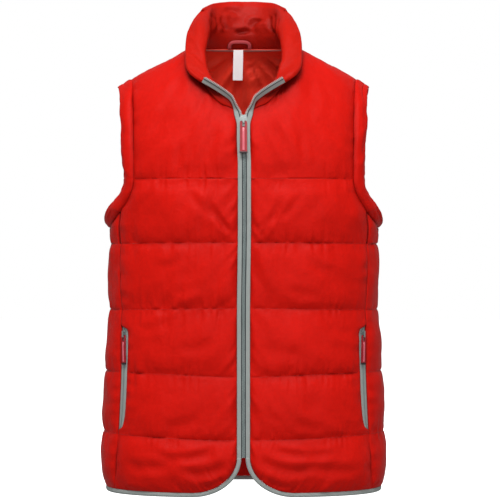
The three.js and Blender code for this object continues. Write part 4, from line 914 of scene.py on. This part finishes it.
LOOP_HALF, LOOP_RISE, LOOP_BAND, LOOP_FORWARD = 16.5, 11.5, 5.0, 5.0
loop_cloth = cloth("red_loop_tape", (0.55, 0.06, 0.07), 0.55, threads=1500.0, sheen=0.3, bump=0.4, spread=0.1, specular=0.3)
loop_lo, loop_hi = (np.array(v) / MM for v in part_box("hanger_loop"))
turn = np.linspace(0, math.pi, 41)
lift = np.sin(turn)
loop_y = loop_hi[1] - THIN / 2
loop_path = xyz(-7 + LOOP_HALF * np.sign(np.cos(turn)) * np.abs(np.cos(turn)) ** 0.6, loop_y - THIN / 2 - LOOP_FORWARD * np.sqrt(lift), loop_lo[2] + 3.0 + LOOP_RISE * lift ** 0.5)
loop_over = xyz(np.cos(turn), 0, lift) * LOOP_BAND / 2
loop_thick = np.array([0, THIN / 2, 0])
loop_ring = [loop_path + loop_over - loop_thick, loop_path + 1.1 * loop_over, loop_path + loop_over + loop_thick,
             loop_path + loop_thick * 1.2, loop_path - loop_over + loop_thick, loop_path - 1.1 * loop_over,
             loop_path - loop_over - loop_thick, loop_path - loop_thick * 1.2]
loop_piece = tube("hanger_loop_tape", np.stack(loop_ring, 1), loop_cloth)
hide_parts("hanger_loop")

# Neck label: a blank white woven label, folded over at its lower end.
label_cloth = cloth("white_label", (0.99, 0.98, 0.985), 0.7, threads=1800.0, bump=0.4, spread=0.04, specular=0.3)
label_lo, label_hi = (np.array(v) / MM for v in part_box("neck_label"))
sx, sz = np.meshgrid(np.linspace(0, 1, 17), np.linspace(0, 1, 45))
label_curl = 0.9 * np.sin(math.pi * (1 - sz)) + 0.5 * (1 - sz) ** 4 + 0.25 * rumple(sx * 2, sz * 4, 511)
label_front = xyz(mix(label_lo[0], label_hi[0], sx) + 1.2 * (sz - 1) * (1 - 0.1 * sx), label_lo[1] + 0.0 - label_curl, mix(label_lo[2], label_hi[2], sz))
label_fold = 0.5 + 0.5 * (sz < 0.08)
label = wall("blank_neck_label", label_front + xyz(0, label_fold, 0), label_front, label_cloth)
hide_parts("neck_label")

# Sliders and pulls: grey coated metal sliders, and moulded red pulls that hang from their bridges.
# Each pull's raised rib carries a painted highlight.
def coated(name, colour, rough, metallic, wear, rib=None):
    material = bpy.data.materials.new(name)
    material.use_nodes = True
    tree = material.node_tree
    shader = tree.nodes["Principled BSDF"]
    place = node(tree, "ShaderNodeTexCoord")
    grain = node(tree, "ShaderNodeTexNoise", {"Vector": place.outputs["Object"], "Scale": 700.0, "Detail": 4.0})
    patch = node(tree, "ShaderNodeTexNoise", {"Vector": place.outputs["Object"], "Scale": 90.0, "Detail": 3.0})
    edge = node(tree, "ShaderNodeNewGeometry")
    worn = node(tree, "ShaderNodeMapRange", {"Value": edge.outputs["Pointiness"], "From Min": 0.52, "From Max": 0.8, "To Max": 0.3})
    tone = node(tree, "ShaderNodeMix", {"Factor": patch.outputs["Fac"]}, data_type="RGBA")
    tone.inputs["A"].default_value = (*(0.82 * c for c in colour), 1)
    tone.inputs["B"].default_value = (*(min(1.15 * c, 1) for c in colour), 1)
    mixed = node(tree, "ShaderNodeMix", {"Factor": worn.outputs[0]}, data_type="RGBA")
    tree.links.new(tone.outputs["Result"], mixed.inputs["A"])
    mixed.inputs["B"].default_value = (*wear, 1)
    tree.links.new(mixed.outputs["Result"], shader.inputs["Base Color"])
    rough_out = node(tree, "ShaderNodeMapRange", {"Value": grain.outputs["Fac"], "To Min": rough - 0.08, "To Max": rough + 0.08})
    tree.links.new(rough_out.outputs[0], shader.inputs["Roughness"])
    shader.inputs["Metallic"].default_value = metallic
    bump = node(tree, "ShaderNodeBump", {"Height": grain.outputs["Fac"], "Strength": 0.15, "Distance": 0.0002})
    tree.links.new(bump.outputs[0], shader.inputs["Normal"])
    return material


slider_metal = coated("grey_coated_metal", (0.36, 0.40, 0.39), 0.36, 0.6, (0.7, 0.72, 0.71))
pull_rubber = coated("red_moulded_pull", (0.42, 0.010, 0.022), 0.35, 0.0, (0.6, 0.06, 0.08))
for name in ("zip_slider", "pocket_slider_left", "pocket_slider_right", "zip_pull", "pocket_pull_left", "pocket_pull_right"):
    fitting = frame["nodes"][name]
    softened = fitting.modifiers.new("rounded_edges", "BEVEL")
    softened.width, softened.segments, softened.limit_method, softened.angle_limit = 0.00022, 2, "ANGLE", math.radians(40)
    fitting.data.materials.clear()
    fitting.data.materials.append(pull_rubber if "pull" in name else slider_metal)

# Painted light on each pull: a glossy pink strip along its rib is a painted highlight, and near-black caps at its lower
# end and at its top, by the bridge, are painted shadow.
insert_gloss = coated("pink_insert", (0.86, 0.17, 0.22), 0.22, 0.0, (0.95, 0.5, 0.52))
end_rubber = coated("dark_pull_end", (0.03, 0.012, 0.014), 0.4, 0.0, (0.12, 0.05, 0.05))


def rounded_block(name, size, centre, frame_axes, origin, bevel, material, body_name):
    """A block with well-rounded edges in a pull's own frame, on the body of that pull."""
    block = bmesh.new()
    bmesh.ops.create_cube(block, size=1.0)
    bmesh.ops.scale(block, vec=size, verts=block.verts)
    bmesh.ops.bevel(block, geom=block.edges[:], offset=bevel, segments=3, profile=0.5, affect="EDGES")
    points = np.array([v.co[:] for v in block.verts]) + centre
    sides = [[v.index for v in f.verts] for f in block.faces]
    block.free()
    return mesh_piece(name, origin + points @ frame_axes, sides, points[:, [0, 2]] * MM, material, body_name=body_name)


PULLS = {  # joint: the pull's body, width, length and upward direction
    "main_pull_swing": ("main_pull", 11.0, 52.0, (0, 0.2397, 0.9709)),
    "left_pocket_pull_swing": ("left_pocket_pull", 8.4, 46.0, (0.0178, 0.0698, 0.9974)),
    "right_pocket_pull_swing": ("right_pocket_pull", 8.4, 46.0, (-0.0178, 0.0698, 0.9974)),
}
PULL_EYE, PULL_THICK, PULL_BAR = 8.4, 1.8, 0.7
for joint in frame["record"]["behaviour"]["joints"]:
    body_name, wide_by, long_by, upward = PULLS[joint["name"]]
    hinge = np.array(joint["pos_m"]) / MM
    sideways = -np.array(joint["axis"], float)
    upward = np.array(upward)
    upward = unit(upward - sideways * (upward @ sideways) / (sideways @ sideways))
    inward = np.cross(upward, unit(sideways))
    axes = np.stack([unit(sideways), inward if inward[1] > 0 else -inward, upward])
    rib_length = long_by - PULL_EYE - 12
    rib_middle = -PULL_EYE - 5 - rib_length / 2
    insert_size = (wide_by * 0.34, 1.5, rib_length + 5)
    rounded_block(f"{body_name}_insert", insert_size, (0, -PULL_THICK / 2 - 0.2, rib_middle + 0.5), axes, hinge, 0.6, insert_gloss, body_name)
    rounded_block(f"{body_name}_end", (wide_by + 0.8, PULL_THICK + 0.9, 3.0), (0, 0, PULL_BAR - long_by + 1.4), axes, hinge, 0.7, end_rubber, body_name)
    rounded_block(f"{body_name}_top", (wide_by * 0.8, PULL_THICK + 0.25, 1.5), (0, 0, 0), axes, hinge, 0.6, end_rubber, body_name)

# Stitching: red thread along the quilted lines, lying in the groove that it pulls into the padding.
STITCH, STITCH_PITCH, THREAD = 2.4, 3.3, 0.24  # length, distance from start to start, and thread radius


def stitches(name, paths, material):
    """Short thread loops along paths of points and outward directions."""
    side_count, ring_count = 6, 5
    s = np.linspace(0, 1, ring_count)
    rise = THREAD * 0.9 * np.sin(math.pi * s) - 0.12
    girth = THREAD * np.array([0.35, 0.9, 1, 0.9, 0.35])
    turn = np.linspace(0, 2 * math.pi, side_count, endpoint=False)
    points, total = [], 0
    for path, out in paths:
        walk = np.concatenate([[0], np.cumsum(np.linalg.norm(np.diff(path, axis=0), axis=1))])
        start = np.arange(2.0, walk[-1] - STITCH - 1, STITCH_PITCH)
        at = start[:, None] + STITCH * s[None, :]
        pick = lambda v: np.stack([np.interp(at, walk, v[:, k]) for k in range(3)], -1)
        centre, o = pick(path), unit(pick(out))
        along = unit(centre[:, -1:] - centre[:, :1])
        over = unit(np.cross(along, o))
        centre = centre + o * rise[None, :, None]
        ring = over[:, :, None] * np.cos(turn)[:, None] + o[:, :, None] * np.sin(turn)[:, None]
        points.append((centre[:, :, None] + ring * girth[None, :, None, None]).reshape(-1, 3))
        total += len(start)
    each = side_count * ring_count
    number = np.arange(each).reshape(ring_count, side_count)
    sides = np.stack([number[:-1], np.roll(number[:-1], -1, 1), np.roll(number[1:], -1, 1), number[1:]], -1).reshape(-1, 4)
    ends = [list(number[0][::-1]), list(number[-1])]
    faces = [[k + i * each for k in face] for i in range(total) for face in sides.tolist() + ends]
    flat = np.concatenate(points)
    return mesh_piece(name, flat, faces, flat[:, [0, 2]] * MM, material)


thread = cloth("red_thread", (0.55, 0.01, 0.006), 0.4, threads=4000.0, sheen=0.2, bump=0.3, spread=0.1)
line_rows = [int(np.argmax(row_channel == k)) for k in range(1, 6)]
for end, flip in (("left", np.ones(3)), ("right", mirror)):
    paths = [(front_out[end][i, 1:-1] * flip, unit(front_out[end][i, 1:-1] - front_in[i, 1:-1]) * flip) for i in line_rows]
    stitches(f"front_quilting_thread_{end}", paths, thread)
paths = []
for i in line_rows:
    columns_here = slice(1, -1) if i <= seam_row else slice(under_columns + 1, body_end)
    paths.append((back_out[i, columns_here], unit(back_out[i, columns_here] - back_in[i, columns_here])))
stitches("back_quilting_thread", paths, thread)

# Studio: a pale floor, soft light from the front and above.
EYE = (0.010, -3.2, -0.325)
FOCAL, SENSOR = 144.0, 36.0
camera = bpy.data.objects.new("camera", bpy.data.cameras.new("camera"))
camera.data.lens, camera.data.sensor_width = FOCAL, SENSOR
camera.location = EYE
camera.rotation_euler = (math.pi / 2, 0, 0)
bpy.context.scene.collection.objects.link(camera)
bpy.context.scene.camera = camera

FLOOR_HEIGHT, FLOOR_HALF = -0.86, 12.0
floor_mesh = bpy.data.meshes.new("floor")
corners = [(x * FLOOR_HALF, y * FLOOR_HALF, FLOOR_HEIGHT) for x, y in ((-1, -1), (1, -1), (1, 1), (-1, 1))]
floor_mesh.from_pydata(corners, [], [(0, 1, 2, 3)])
floor = bpy.data.objects.new("floor", floor_mesh)
paper = bpy.data.materials.new("pale_paper")
paper.use_nodes = True
paper.node_tree.nodes["Principled BSDF"].inputs["Base Color"].default_value = (0.95, 0.95, 0.95, 1)
paper.node_tree.nodes["Principled BSDF"].inputs["Roughness"].default_value = 0.95
paper.node_tree.nodes["Principled BSDF"].inputs["Emission Color"].default_value = (1, 1, 1, 1)
paper.node_tree.nodes["Principled BSDF"].inputs["Emission Strength"].default_value = 0.95
floor_mesh.materials.append(paper)
bpy.context.scene.collection.objects.link(floor)
floor.visible_diffuse = floor.visible_glossy = False


def softbox(name, place, target, size, power):
    light = bpy.data.lights.new(name, "AREA")
    light.shape = "RECTANGLE"
    light.size, light.size_y, light.energy = *size, power
    holder = bpy.data.objects.new(name, light)
    holder.location = place
    holder.visible_camera = False
    holder.rotation_euler = (Vector(target) - Vector(place)).to_track_quat("-Z", "Y").to_euler()
    bpy.context.scene.collection.objects.link(holder)


softbox("key", (-0.25, -1.9, 2.4), (0, 0, -0.3), (1.5, 1.1), 76)
softbox("fill", (0.5, -3.3, 0.1), (0, 0, -0.4), (1.8, 1.6), 22)
softbox("rear", (0.0, 3.4, -0.1), (0, 0, -0.35), (0.7, 1.2), 30)
world = bpy.data.worlds.new("studio")
world.use_nodes = True
sky = world.node_tree
lit = sky.nodes["Background"]
lit.inputs["Color"].default_value = (1, 1, 1, 1)
lit.inputs["Strength"].default_value = 0.29
seen = node(sky, "ShaderNodeBackground", {"Color": (1, 1, 1, 1), "Strength": 1.0})
chosen = node(sky, "ShaderNodeMixShader", {0: node(sky, "ShaderNodeLightPath").outputs["Is Camera Ray"]})
sky.links.new(lit.outputs[0], chosen.inputs[1])
sky.links.new(seen.outputs[0], chosen.inputs[2])
sky.links.new(chosen.outputs[0], sky.nodes["World Output"].inputs["Surface"])
bpy.context.scene.world = world
bpy.context.scene.view_settings.view_transform = "Standard"
